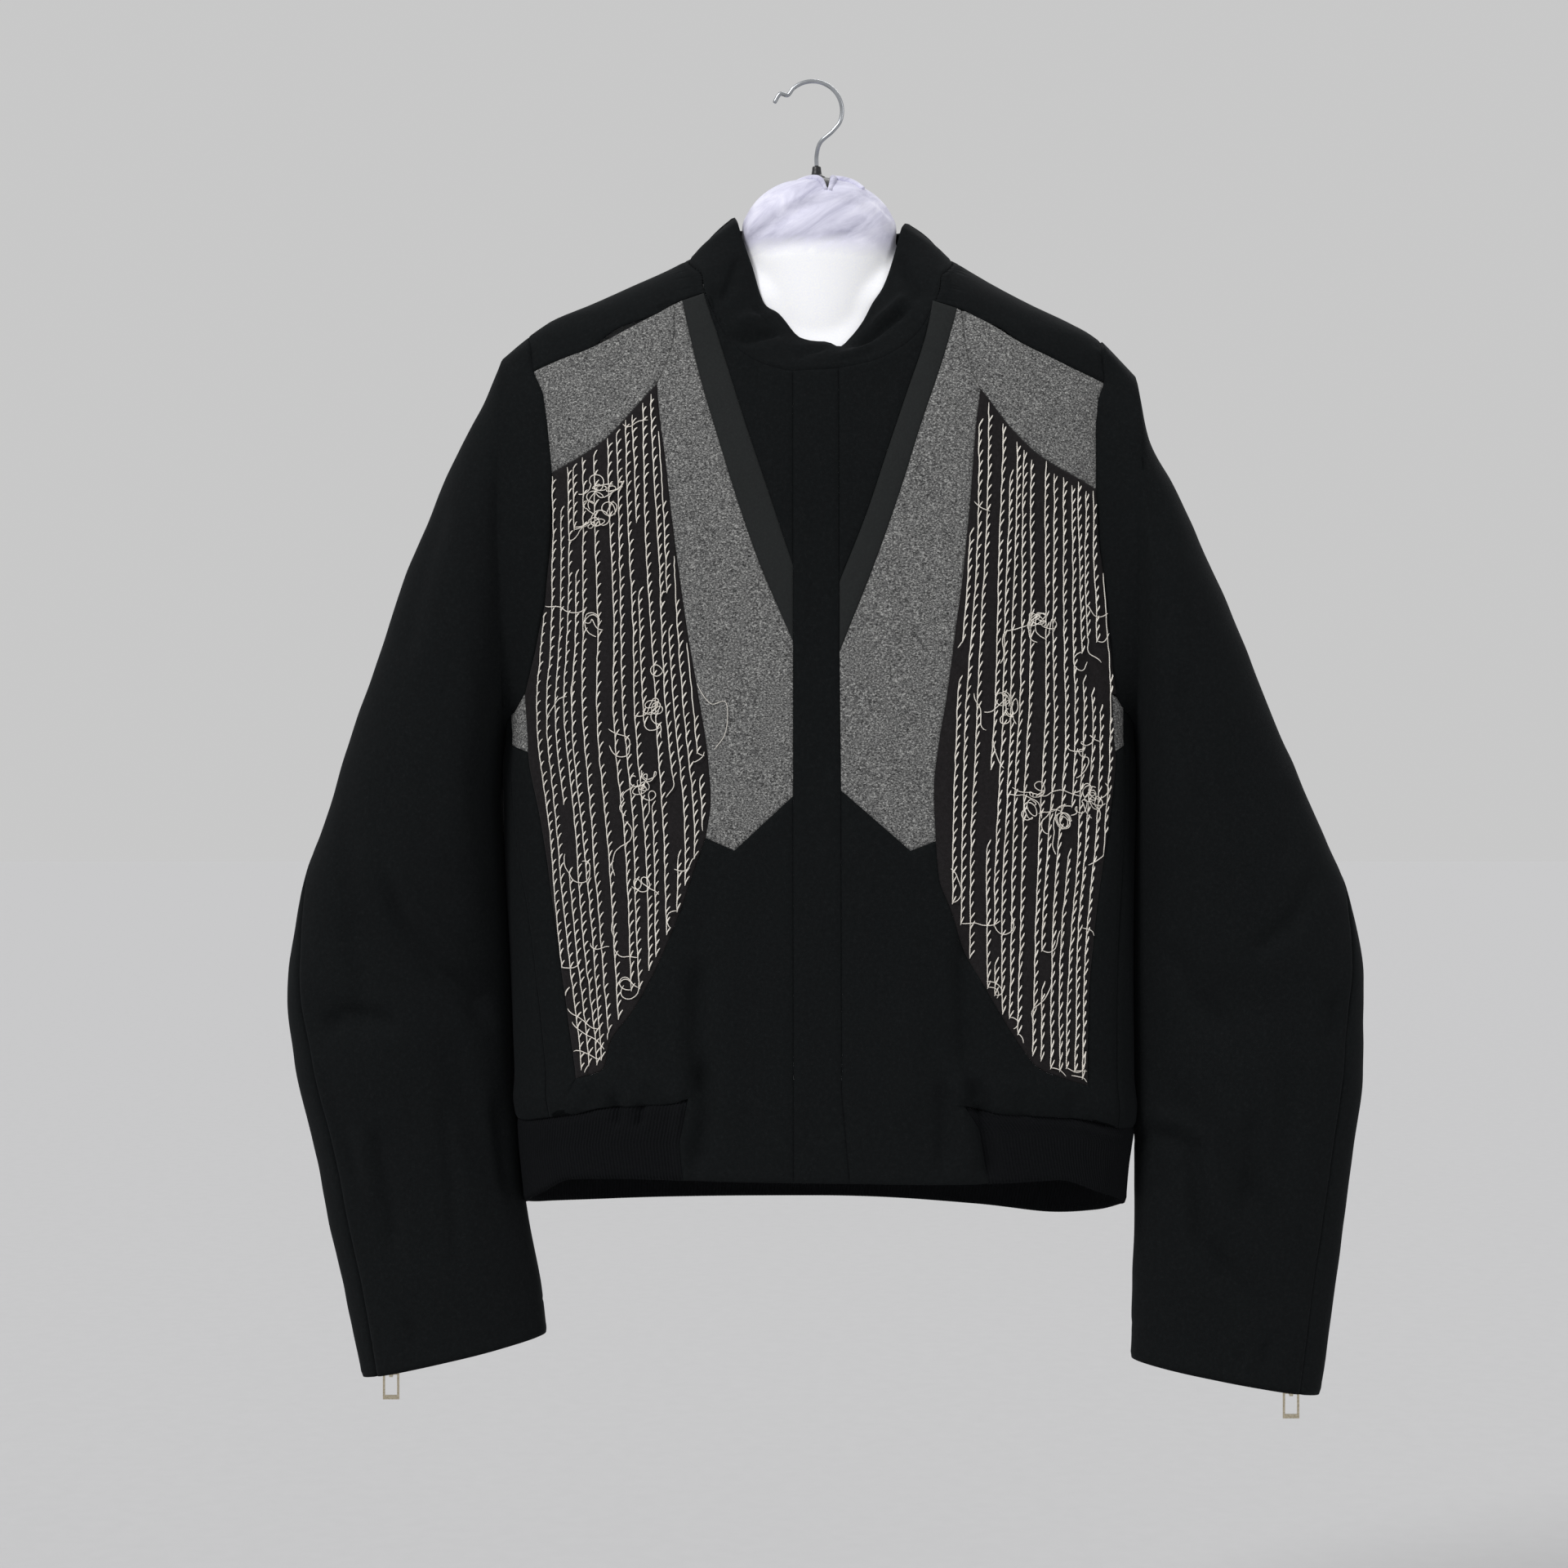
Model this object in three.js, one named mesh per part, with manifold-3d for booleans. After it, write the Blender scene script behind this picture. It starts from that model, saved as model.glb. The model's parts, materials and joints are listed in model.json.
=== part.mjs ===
// Embroidered wool jacket worn by a smooth hanging torso form, sizes in millimetres, +Z up.
// The origin is the saddle of the wire hook, X runs across the chest, the front faces -Y.
import * as THREE from 'three';
import { mergeVertices } from 'three/addons/utils/BufferGeometryUtils.js';
import Module from 'manifold-3d';

const wasm = await Module();
wasm.setup();

// Driving dimensions
const CLOTH = 2.0;
const COLLAR_CLOTH = 2.4;
const SEAM = 0.3;
const BODY_AROUND = 50;
const BODY_ROWS = 13;
const SLEEVE_AROUND = 9;
const BELOW_HEM = -850;
const WIRE = 1.5;
const HOOK_RADIUS = 21.1;
const HOOK_CENTRE = { x: -3, z: -19.6 };
const FITTING_TOP = -58;
const FORM_LIFT = 6.0;
const PULL_WIDTH = 11.6;
const PULL_LENGTH = 18;

// Body sections: height, half width left and right, depth to front and back, squareness
const bodyRows = [
  { z: -112, left: 76, right: 80, front: 40, back: 58, n: 2.0 },
  { z: -123, left: 85, right: 89, front: 48, back: 63, n: 2.0 },
  { z: -134, left: 105, right: 107, front: 55, back: 67, n: 2.0 },
  { z: -148, left: 136, right: 131, front: 59, back: 71, n: 2.05 },
  { z: -160, left: 163, right: 154, front: 62, back: 74, n: 2.1 },
  { z: -172, left: 191.5, right: 180, front: 64, back: 77, n: 2.1 },
  { z: -185, left: 209.5, right: 203, front: 66, back: 79, n: 2.15 },
  { z: -200, left: 214.5, right: 214, front: 68, back: 82, n: 2.2 },
  { z: -240, left: 218, right: 220, front: 75, back: 86, n: 2.3 },
  { z: -300, left: 220, right: 223, front: 82, back: 88, n: 2.4 },
  { z: -380, left: 221, right: 225, front: 85, back: 88, n: 2.4 },
  { z: -460, left: 221, right: 225, front: 86, back: 86, n: 2.45 },
  { z: -560, left: 219, right: 224.5, front: 85, back: 83, n: 2.45 },
  { z: -650, left: 217, right: 225, front: 84, back: 81, n: 2.4 },
  { z: -700, left: 215, right: 225.5, front: 84, back: 80, n: 2.4 },
  { z: -745, left: 212, right: 225.5, front: 83, back: 78, n: 2.4 },
  { z: -775, left: 210, right: 222.5, front: 82, back: 75, n: 2.4 },
  { z: -825, left: 206, right: 219, front: 81, back: 71, n: 2.4 },
];

// Largest folds of the body: place, inward depth, half size across and along
const bodyFolds = [
  { deg: -129, z: -668, deep: 4.5, wide: 5, tall: 55 },
  { deg: -52, z: -655, deep: 5, wide: 5, tall: 60 },
  { deg: -60, z: -738, deep: 4, wide: 4, tall: 34 },
  { deg: -121, z: -742, deep: 4, wide: 4, tall: 34 },
  { deg: 60, z: -640, deep: 4, wide: 7, tall: 90 },
  { deg: 122, z: -655, deep: 4, wide: 7, tall: 80 },
];

// Height of the hem around the body
const hemRows = [
  { deg: -180, z: -799 }, { deg: -170, z: -795 }, { deg: -155, z: -787 }, { deg: -140, z: -776 },
  { deg: -120, z: -774 }, { deg: -90, z: -775.5 }, { deg: -70, z: -777 }, { deg: -50, z: -776 },
  { deg: -35, z: -786 }, { deg: -20, z: -794 }, { deg: 0, z: -802 }, { deg: 20, z: -810 },
  { deg: 40, z: -814 }, { deg: 60, z: -810 }, { deg: 90, z: -805 }, { deg: 130, z: -805 },
  { deg: 160, z: -803 }, { deg: 180, z: -799 },
];

// Seams of the front as [x, z] from the wearer's neck outwards and downwards
const seams = {
  neckL: [[-82.3, -141.7], [-78.6, -157.3], [-71.6, -174.3], [-64.7, -187.8], [-48.8, -204.2],
    [-33.6, -211.3], [-17.2, -214.8]],
  neckR: [[88.3, -142.3], [84.8, -156.9], [80.5, -168], [74.6, -179.5], [62, -194.3],
    [41, -206.6], [14.4, -212.5]],
  yokeL: [[-79.1, -158.5], [-95.1, -163.4], [-118.4, -175.3], [-154.5, -194.1], [-183.2, -204.1],
    [-201.3, -210.7]],
  yokeR: [[80.6, -163.8], [96.6, -168.8], [120.6, -179.3], [141.7, -192.8], [162.5, -201.9],
    [180.8, -209.7], [203.9, -218.8]],
  stripInL: [[-79.1, -158.5], [-73.3, -177.8], [-64.7, -204.6], [-50.4, -251], [-34.6, -298.3],
    [-17.2, -350.7]],
  stripInR: [[80.6, -163.8], [74.5, -190.6], [61.7, -229.6], [48, -270.4], [33.8, -313.5],
    [14.7, -361.9]],
  stripOutL: [[-95.1, -163.4], [-90.9, -181.5], [-81, -221.3], [-67.3, -267.4], [-55.9, -304.4],
    [-40.2, -349.5], [-17.2, -402.8]],
  stripOutR: [[96.6, -168.8], [86.3, -207.8], [70, -256], [56.3, -299.9], [38.8, -349.5],
    [14.7, -410.1]],
  lapelL: [[-111.7, -223], [-109.8, -244.5], [-105.6, -275.5], [-101, -315.8], [-95.8, -354.8],
    [-89.6, -398.1], [-82.8, -436.9], [-75.5, -485.1], [-73.8, -512], [-77.2, -537.8]],
  lapelR: [[112.9, -226.5], [109.2, -256], [104.8, -308.5], [100.2, -354.8], [95.6, -388.5],
    [88.8, -439.1], [83.1, -472.8], [79.7, -503.6], [80.9, -540.1]],
  lapelEndL: [[-77.2, -537.8], [-57.6, -546.7], [-17.2, -509.2]],
  lapelEndR: [[80.9, -540.1], [63.5, -546.8], [15.8, -505.3]],
  patchInL: [[-99.6, -165.7], [-100, -187.2], [-102.7, -201.1], [-107.2, -213.8], [-111.7, -223]],
  patchInR: [[101.7, -171], [102, -185.9], [103.5, -199.9], [107.4, -213.8], [112.9, -226.5]],
  patchEndL: [[-111.7, -223], [-123.5, -236.1], [-148.5, -261.8], [-162.3, -271.1], [-186.3, -283.7]],
  patchEndR: [[112.9, -226.5], [119.7, -235], [133.2, -252.6], [154.4, -272.6], [195.7, -294.8]],
  panelEndL: [[-77.2, -537.8], [-84, -556.3], [-93, -583.3], [-103.2, -609.2], [-114, -633],
    [-128.7, -658.5], [-144.8, -680.9], [-148.8, -698], [-168, -705.5]],
  panelEndR: [[80.9, -540.1], [83.2, -565.3], [91.6, -587.8], [100.2, -613.1], [116.1, -642.5],
    [141.2, -683.4], [152.7, -697.2], [169, -704.5], [188.5, -711]],
  panelSideL: [[-205.4, -437.8], [-202.2, -478.5], [-194.4, -522.5], [-186.1, -578.2],
    [-178.5, -632], [-172.1, -677.3], [-168, -705.5]],
  panelSideR: [[206.3, -437.9], [208, -478], [205, -512.2], [200, -552.1], [192.7, -608.9],
    [189.1, -654.2], [188.5, -711]],
  sideL: [[-217.4, -437.3], [-214.6, -473.5], [-212, -516.9], [-203.8, -580.4], [-195.9, -645.9],
    [-190.6, -694.2], [-187.1, -733.6]],
  sideR: [[215.4, -437.6], [215.3, -474], [213.9, -552.4], [210.7, -626.7], [209.9, -695.2],
    [210.2, -742.4]],
  ribTopL: [[-187.1, -733.6], [-170.4, -730.7], [-150.6, -725.3], [-128.8, -723.4],
    [-104.4, -721.8], [-89.7, -717.6]],
  ribTopR: [[210.2, -742.4], [188, -734.9], [157.4, -731.3], [122.9, -728.2], [100.2, -722.1]],
  ribEndL: [[-89.7, -717.6], [-95.3, -748.1], [-92, -781.9], [-92, BELOW_HEM]],
  ribEndR: [[100.2, -722.1], [112.7, -739.8], [119.6, -782.4], [119.6, BELOW_HEM]],
  placketL: [[-17.2, -214.8], [-17.2, -350.7], [-17.2, -402.8], [-17.2, -509.2], [-16.7, -775],
    [-16.7, BELOW_HEM]],
  placketR: [[14.4, -212.5], [14.7, -361.9], [14.7, -410.1], [15.8, -505.3], [16.4, -713.7],
    [22, -777], [22, BELOW_HEM]],
  armL: [[-210, -172], [-206, -184.5], [-201.3, -210.7], [-193.6, -226.8], [-191, -244],
    [-186.3, -283.2], [-186.2, -305.5], [-187.9, -339.1], [-191.4, -375.5], [-197.4, -406.7],
    [-205, -437.5], [-213, -450], [-221, -455]],
  armR: [[206, -172], [203.5, -187.5], [203.9, -218.8], [198.6, -231.2], [196.4, -249], [195.7, -294.8],
    [197.4, -329.7], [200.4, -352.4], [203.4, -386.6], [207, -420.8], [210, -440], [217, -451],
    [226, -455]],
};

// Collar's upper edge from the side of the neck to the centre front
const collarTop = {
  left: [{ x: -59.1, y: 4, z: -94.5 }, { x: -56.5, y: -11, z: -101 }, { x: -52, y: -20, z: -116.4 },
    { x: -45.4, y: -28, z: -136 }, { x: -36.5, y: -36, z: -164 }, { x: -21.7, y: -43, z: -177.7 },
    { x: -12, y: -46, z: -188 }, { x: -2, y: -47.5, z: -191 }, { x: 6, y: -47.5, z: -191.5 },
    { x: 14.5, y: -46.5, z: -195.5 }],
  right: [{ x: 63.8, y: 4, z: -99 }, { x: 60.7, y: -8, z: -103.8 }, { x: 55, y: -20, z: -123.1 },
    { x: 45.8, y: -31, z: -151 }, { x: 38.1, y: -36, z: -163.2 }, { x: 31.1, y: -40, z: -176.2 },
    { x: 23, y: -43.5, z: -187.5 }, { x: 14.5, y: -46.5, z: -195.5 }],
};

// Sleeve sections: outer edge, inner edge, depth to front and back, turn of the back seam
const sleeveRows = {
  left: [
    { ox: -224, oz: -198, ix: -222, iz: -468, front: 50, back: 58, seam: -48 },
    { ox: -235, oz: -225, ix: -225.5, iz: -481, front: 57, back: 66, seam: -46 },
    { ox: -252, oz: -257, ix: -227.5, iz: -495, front: 62, back: 70, seam: -42 },
    { ox: -268, oz: -292, ix: -228, iz: -515, front: 64, back: 70, seam: -37 },
    { ox: -292, oz: -349, ix: -226.5, iz: -542, front: 64, back: 66, seam: -31 },
    { ox: -313.5, oz: -412.6, ix: -224, iz: -571, front: 62, back: 60, seam: -24 },
    { ox: -333, oz: -469, ix: -222, iz: -594, front: 59, back: 54, seam: -14 },
    { ox: -350, oz: -524, ix: -220, iz: -618, front: 56, back: 48, seam: 0 },
    { ox: -367, oz: -577, ix: -218.8, iz: -635, front: 53, back: 42, seam: 16 },
    { ox: -378, oz: -650, ix: -217.4, iz: -661, front: 50, back: 37, seam: 30 },
    { ox: -372.5, oz: -700, ix: -216, iz: -705, front: 47, back: 33, seam: 38 },
    { ox: -359, oz: -757.7, ix: -213.5, iz: -757.7, front: 43, back: 30, seam: 41 },
    { ox: -347.5, oz: -816, ix: -206.5, iz: -810, front: 39, back: 27, seam: 42 },
    { ox: -335.7, oz: -868.6, ix: -197, iz: -860, front: 35, back: 24, seam: 41 },
    { ox: -325, oz: -923.5, ix: -193.3, iz: -892.5, front: 32, back: 22, seam: 39 },
  ],
  right: [
    { ox: 227, oz: -210, ix: 226, iz: -468, front: 50, back: 58, seam: -48 },
    { ox: 234.6, oz: -251.5, ix: 229, iz: -483, front: 58, back: 66, seam: -46 },
    { ox: 251.6, oz: -284, ix: 229.5, iz: -498, front: 62, back: 70, seam: -42 },
    { ox: 266, oz: -314, ix: 229.5, iz: -515, front: 64, back: 70, seam: -37 },
    { ox: 295, oz: -378, ix: 228.5, iz: -542, front: 64, back: 66, seam: -31 },
    { ox: 320, oz: -441, ix: 227.5, iz: -568, front: 62, back: 60, seam: -24 },
    { ox: 343, oz: -492, ix: 226.8, iz: -591, front: 59, back: 54, seam: -14 },
    { ox: 363, oz: -540.5, ix: 226.4, iz: -618, front: 56, back: 48, seam: 0 },
    { ox: 379.4, oz: -582.5, ix: 226.2, iz: -644, front: 53, back: 42, seam: 16 },
    { ox: 390, oz: -641, ix: 226.4, iz: -673, front: 50, back: 37, seam: 30 },
    { ox: 389.3, oz: -703, ix: 226.8, iz: -717, front: 47, back: 33, seam: 38 },
    { ox: 383, oz: -760.6, ix: 226.8, iz: -763.5, front: 43, back: 30, seam: 42 },
    { ox: 375.3, oz: -822, ix: 226.4, iz: -810, front: 39, back: 27, seam: 43 },
    { ox: 367.7, oz: -877, ix: 225.6, iz: -857, front: 35, back: 24, seam: 44 },
    { ox: 359.6, oz: -936, ix: 224.7, iz: -910.6, front: 32, back: 22, seam: 44 },
  ],
};

// Largest sleeve folds: place along in rows, turn, inward depth, half sizes in rows and degrees
const sleeveFolds = {
  left: [
    { row: 8.6, deg: 62, deep: 5, rows: 1.0, turn: 13, slant: 22 },
    { row: 9.6, deg: 100, deep: 5, rows: 0.9, turn: 20, slant: 26 },
    { row: 10.3, deg: 52, deep: 4.5, rows: 0.45, turn: 26, slant: 0 },
    { row: 11.6, deg: 126, deep: 4, rows: 1.2, turn: 11, slant: 8 },
    { row: 11.9, deg: 56, deep: 3.5, rows: 1.2, turn: 8, slant: 8 },
    { row: 9.5, deg: 250, deep: 5, rows: 0.7, turn: 40, slant: 10 },
    { row: 11.0, deg: 285, deep: 4, rows: 0.6, turn: 34, slant: -10 },
  ],
  right: [
    { row: 11.4, deg: 128, deep: 5, rows: 0.8, turn: 16, slant: -30 },
    { row: 12.6, deg: 88, deep: 4.5, rows: 0.9, turn: 10, slant: -26 },
    { row: 11.4, deg: 74, deep: 4, rows: 1.2, turn: 8, slant: 0 },
    { row: 9.9, deg: 100, deep: 4, rows: 0.6, turn: 26, slant: -12 },
    { row: 9.6, deg: 252, deep: 5, rows: 0.7, turn: 40, slant: 10 },
    { row: 11.2, deg: 284, deep: 4, rows: 0.6, turn: 34, slant: -8 },
  ],
};

// Neck of the torso form, from its domed top down into the chest
const formNeckRows = [
  { z: -69, left: 10, right: 10, front: 2, back: 18 },
  { z: -71, left: 22, right: 22, front: 14, back: 29 },
  { z: -76, left: 33, right: 35, front: 25, back: 41 },
  { z: -84, left: 43, right: 46, front: 32, back: 49 },
  { z: -94, left: 50, right: 53.5, front: 34, back: 52 },
  { z: -103, left: 53.5, right: 57, front: 35, back: 52 },
  { z: -115, left: 53, right: 56.5, front: 36, back: 52 },
  { z: -145, left: 50, right: 54, front: 37, back: 52 },
  { z: -190, left: 49, right: 53, front: 39.5, back: 52 },
  { z: -225, left: 49, right: 53, front: 44, back: 52 },
];

// Torso form sections: height, half width left and right, depth to front and back
const formRows = [
  { z: -121, left: 46, right: 48, front: 6, back: 44 },
  { z: -127, left: 60, right: 62, front: 12, back: 50 },
  { z: -136, left: 76, right: 78, front: 18, back: 54 },
  { z: -148, left: 108, right: 106, front: 26, back: 60 },
  { z: -162, left: 138, right: 130, front: 32, back: 64 },
  { z: -176, left: 164, right: 156, front: 34, back: 67 },
  { z: -190, left: 180, right: 178, front: 39, back: 69 },
  { z: -206, left: 186, right: 188, front: 48, back: 71 },
  { z: -240, left: 186, right: 190, front: 64, back: 75 },
  { z: -300, left: 180, right: 188, front: 72, back: 78 },
  { z: -380, left: 178, right: 186, front: 75, back: 78 },
  { z: -480, left: 178, right: 186, front: 74, back: 74 },
  { z: -600, left: 180, right: 190, front: 72, back: 70 },
  { z: -690, left: 182, right: 192, front: 71, back: 67 },
  { z: -712, left: 174, right: 184, front: 64, back: 60 },
];

const rad = Math.PI / 180;
const mix = (a, b, t) => a + (b - a) * t;

// Smooth value of one column of a table between its rows, without overshoot
function column(rows, key, name, at) {
  const up = rows[1][key] > rows[0][key] ? 1 : -1;
  const last = rows.length - 1;
  if ((at - rows[0][key]) * up <= 0) return rows[0][name];
  if ((at - rows[last][key]) * up >= 0) return rows[last][name];
  let i = 0;
  while ((at - rows[i + 1][key]) * up > 0) i += 1;
  const slope = (j) => (rows[j + 1][name] - rows[j][name]) / (rows[j + 1][key] - rows[j][key]);
  const tangent = (j) => {
    if (j === 0) return slope(0);
    if (j === last) return slope(last - 1);
    const a = slope(j - 1);
    const b = slope(j);
    return a * b <= 0 ? 0 : (2 * a * b) / (a + b);
  };
  const h = rows[i + 1][key] - rows[i][key];
  const t = (at - rows[i][key]) / h;
  const m0 = tangent(i) * h;
  const m1 = tangent(i + 1) * h;
  const t2 = t * t;
  const t3 = t2 * t;
  return (2 * t3 - 3 * t2 + 1) * rows[i][name] + (t3 - 2 * t2 + t) * m0
    + (3 * t2 - 2 * t3) * rows[i + 1][name] + (t3 - t2) * m1;
}

// Point of a rounded section at a turn and a height, 0 degrees at +X and -90 at the front
function sectionPoint(rows, deg, z, squareness) {
  const c = Math.cos(deg * rad);
  const s = Math.sin(deg * rad);
  const n = squareness || column(rows, 'z', 'n', z);
  const w = column(rows, 'z', c < 0 ? 'left' : 'right', z);
  const d = column(rows, 'z', s < 0 ? 'front' : 'back', z);
  const x = w * Math.sign(c) * Math.abs(c) ** (2 / n);
  const y = d * Math.sign(s) * Math.abs(s) ** (2 / n);
  return new THREE.Vector3(x, y, z);
}

function turnBetween(a, b) {
  return ((a - b + 540) % 360) - 180;
}

function bodyPoint(deg, z) {
  const p = sectionPoint(bodyRows, deg, z);
  let sink = 0;
  for (const f of bodyFolds) {
    const a = turnBetween(deg, f.deg) / f.wide;
    const b = (z - f.z) / f.tall;
    sink += f.deep * Math.exp(-a * a - b * b);
  }
  const out = Math.hypot(p.x, p.y);
  p.x -= (sink * p.x) / out;
  p.y -= (sink * p.y) / out;
  return p;
}

// Turn of the body surface whose front point lies at x and z
function turnAt(x, z) {
  const n = column(bodyRows, 'z', 'n', z);
  const w = column(bodyRows, 'z', x < 0 ? 'left' : 'right', z);
  const r = Math.min(1, Math.abs(x) / w) ** (n / 2);
  return -Math.acos(Math.sign(x) * r) / rad;
}

// Height of the neck seam around the body, front points taken from the neck seams
const neckRows = [
  { deg: -180, z: -123 },
  ...seams.neckL.map(([x, z]) => ({ deg: turnAt(x, z), z })),
  ...seams.neckR.map(([x, z]) => ({ deg: turnAt(x, z), z })).reverse(),
  { deg: 0, z: -125 }, { deg: 30, z: -119 }, { deg: 60, z: -115 }, { deg: 90, z: -113 },
  { deg: 120, z: -114 }, { deg: 150, z: -118 }, { deg: 180, z: -123 },
];

function normalOf(point, u, v) {
  const e = 0.004;
  const a = point(u + e, v).sub(point(u - e, v));
  const v0 = Math.max(0, v - e);
  const v1 = Math.min(1, v + e);
  const b = point(u, v1).sub(point(u, v0));
  return a.cross(b).normalize();
}

// Closed wall between an outer and an inner grid, either open at both sides or joined round
function wall(outer, inner, nu, nv, round) {
  const pos = [];
  const idx = [];
  const cols = round ? nu : nu + 1;
  for (const side of [outer, inner]) {
    for (let j = 0; j <= nv; j += 1) {
      for (let i = 0; i < cols; i += 1) {
        const p = side(i / nu, j / nv);
        pos.push(p.x, p.y, p.z);
      }
    }
  }
  const half = cols * (nv + 1);
  const at = (i, j, s) => s * half + j * cols + (round ? i % cols : i);
  const quad = (a, b, c, d) => idx.push(a, b, c, a, c, d);
  for (let i = 0; i < nu; i += 1) {
    for (let j = 0; j < nv; j += 1) {
      quad(at(i, j, 0), at(i + 1, j, 0), at(i + 1, j + 1, 0), at(i, j + 1, 0));
      quad(at(i, j, 1), at(i, j + 1, 1), at(i + 1, j + 1, 1), at(i + 1, j, 1));
    }
    quad(at(i, 0, 1), at(i + 1, 0, 1), at(i + 1, 0, 0), at(i, 0, 0));
    quad(at(i, nv, 0), at(i + 1, nv, 0), at(i + 1, nv, 1), at(i, nv, 1));
  }
  if (!round) {
    for (let j = 0; j < nv; j += 1) {
      quad(at(0, j, 0), at(0, j + 1, 0), at(0, j + 1, 1), at(0, j, 1));
      quad(at(nu, j, 1), at(nu, j + 1, 1), at(nu, j + 1, 0), at(nu, j, 0));
    }
  }
  const g = new THREE.BufferGeometry();
  g.setAttribute('position', new THREE.Float32BufferAttribute(pos, 3));
  g.setIndex(idx);
  return g;
}

// Turns a grid inside out where its wall came out facing inwards
function volumeOf(g) {
  const p = g.attributes.position;
  const ix = g.index.array;
  const a = new THREE.Vector3();
  const b = new THREE.Vector3();
  const c = new THREE.Vector3();
  let v = 0;
  for (let i = 0; i < ix.length; i += 3) {
    a.fromBufferAttribute(p, ix[i]);
    b.fromBufferAttribute(p, ix[i + 1]);
    c.fromBufferAttribute(p, ix[i + 2]);
    v += a.dot(b.cross(c)) / 6;
  }
  return v;
}

function facingOut(g) {
  if (volumeOf(g) > 0) return g;
  const ix = Array.from(g.index.array);
  for (let i = 0; i < ix.length; i += 3) {
    const keep = ix[i + 1];
    ix[i + 1] = ix[i + 2];
    ix[i + 2] = keep;
  }
  g.setIndex(ix);
  return g;
}

// Conversions between geometries and closed solids for joining and cutting
function solid(g) {
  const bare = g.clone();
  for (const name of Object.keys(bare.attributes)) {
    if (name !== 'position') bare.deleteAttribute(name);
  }
  const one = facingOut(mergeVertices(bare, 1e-4));
  return new wasm.Manifold(new wasm.Mesh({
    numProp: 3,
    vertProperties: new Float32Array(one.attributes.position.array),
    triVerts: new Uint32Array(one.index.array),
  }));
}

function geometryOf(body) {
  const mesh = body.getMesh();
  const g = new THREE.BufferGeometry();
  g.setAttribute('position', new THREE.BufferAttribute(Float32Array.from(mesh.vertProperties), 3));
  g.setIndex(Array.from(mesh.triVerts));
  return g;
}

// Outline moved inwards by a distance, or outwards where it is negative
function inset(points, by) {
  const n = points.length;
  let area = 0;
  for (let i = 0; i < n; i += 1) {
    const a = points[i];
    const b = points[(i + 1) % n];
    area += a[0] * b[1] - b[0] * a[1];
  }
  const side = area > 0 ? 1 : -1;
  return points.map((p, i) => {
    const a = points[(i + n - 1) % n];
    const b = points[(i + 1) % n];
    const u = new THREE.Vector2(p[0] - a[0], p[1] - a[1]).normalize();
    const v = new THREE.Vector2(b[0] - p[0], b[1] - p[1]).normalize();
    const m = new THREE.Vector2(-u.y - v.y, u.x + v.x).normalize();
    const stretch = Math.min(3, 1 / Math.max(0.2, m.dot(new THREE.Vector2(-u.y, u.x))));
    return [p[0] + m.x * side * by * stretch, p[1] + m.y * side * by * stretch];
  });
}

// Block with the given outline in X and Z that runs from one depth to another
function block(points, y0, y1) {
  const shape = new THREE.Shape(points.map(([x, z]) => new THREE.Vector2(x, z)));
  const g = new THREE.ExtrudeGeometry(shape, { depth: y1 - y0, bevelEnabled: false });
  g.rotateX(Math.PI / 2);
  g.translate(0, y1, 0);
  return solid(g);
}

// The body's cloth as one wall from hem to neck seam
const bodyTurn = (u) => -180 + 360 * u;
const rowSpread = (v) => 1 - (1 - v) ** 1.0;

function bodyOuter(u, v) {
  const deg = bodyTurn(u);
  const hem = column(hemRows, 'deg', 'z', Math.min(180, Math.max(-180, deg)));
  const neck = column(neckRows, 'deg', 'z', Math.min(180, Math.max(-180, deg)));
  return bodyPoint(deg, mix(hem, neck, rowSpread(v)));
}

function collarTopAt(u) {
  const deg = bodyTurn(u);
  const rowsOf = (list, turn) => list.map((p) => ({ ...p, deg: turn(p) }));
  const around = (p) => Math.atan2(p.y - 4, p.x) / rad;
  const left = rowsOf(collarTop.left, around);
  const right = rowsOf(collarTop.right, around);
  const back = [0, 45, 90, 135, 180].map((d) => ({
    deg: d,
    x: (d < 90 ? 63.8 : 59.4) * Math.cos(d * rad),
    y: 4 + 60 * Math.sin(d * rad),
    z: [-99, -93, -90, -91, -94.5][Math.round(d / 45)],
  }));
  const rows = [...left, ...right.slice(0, -1).reverse(), ...back.slice(0)];
  rows[0].deg = -180;
  const at = Math.min(180, Math.max(-180, deg));
  const sorted = rows.filter((r, i) => i === 0 || r.deg > rows[i - 1].deg + 0.01);
  return new THREE.Vector3(
    column(sorted, 'deg', 'x', at),
    column(sorted, 'deg', 'y', at),
    column(sorted, 'deg', 'z', at),
  );
}

// Collar from the neck seam to its upper edge, a little fuller half way
function collarOuter(u, v) {
  const foot = bodyOuter(u, 1);
  const top = collarTopAt(collarU(u));
  const p = foot.clone().lerp(top, v);
  const out = new THREE.Vector3(p.x, p.y - 4, 0).normalize();
  const lift = 4.2 * Math.sin(Math.PI * v) * (foot.y < 0 ? 1 : 0.6);
  p.addScaledVector(out, lift * 0.7);
  p.z += lift * 0.7;
  return p;
}

// Turn on the collar's upper edge that lies above a place on the neck seam
function collarU(u) {
  const p = bodyOuter(u, 1);
  return (Math.atan2(p.y - 4, p.x) / rad + 180) / 360;
}

const wrap = (u) => ((u % 1) + 1) % 1;
const bodyWrapped = (u, v) => bodyOuter(wrap(u), v);
const collarWrapped = (u, v) => collarOuter(wrap(u), v);

function seamNormal(u) {
  const a = normalOf(bodyWrapped, u, 0.995);
  const b = normalOf(collarWrapped, u, 0.05);
  return a.add(b).normalize();
}

const sample = bodyWrapped(0.25, 0.5);
const outwards = normalOf(bodyWrapped, 0.25, 0.5).dot(new THREE.Vector3(sample.x, sample.y, 0)) > 0 ? 1 : -1;

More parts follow.
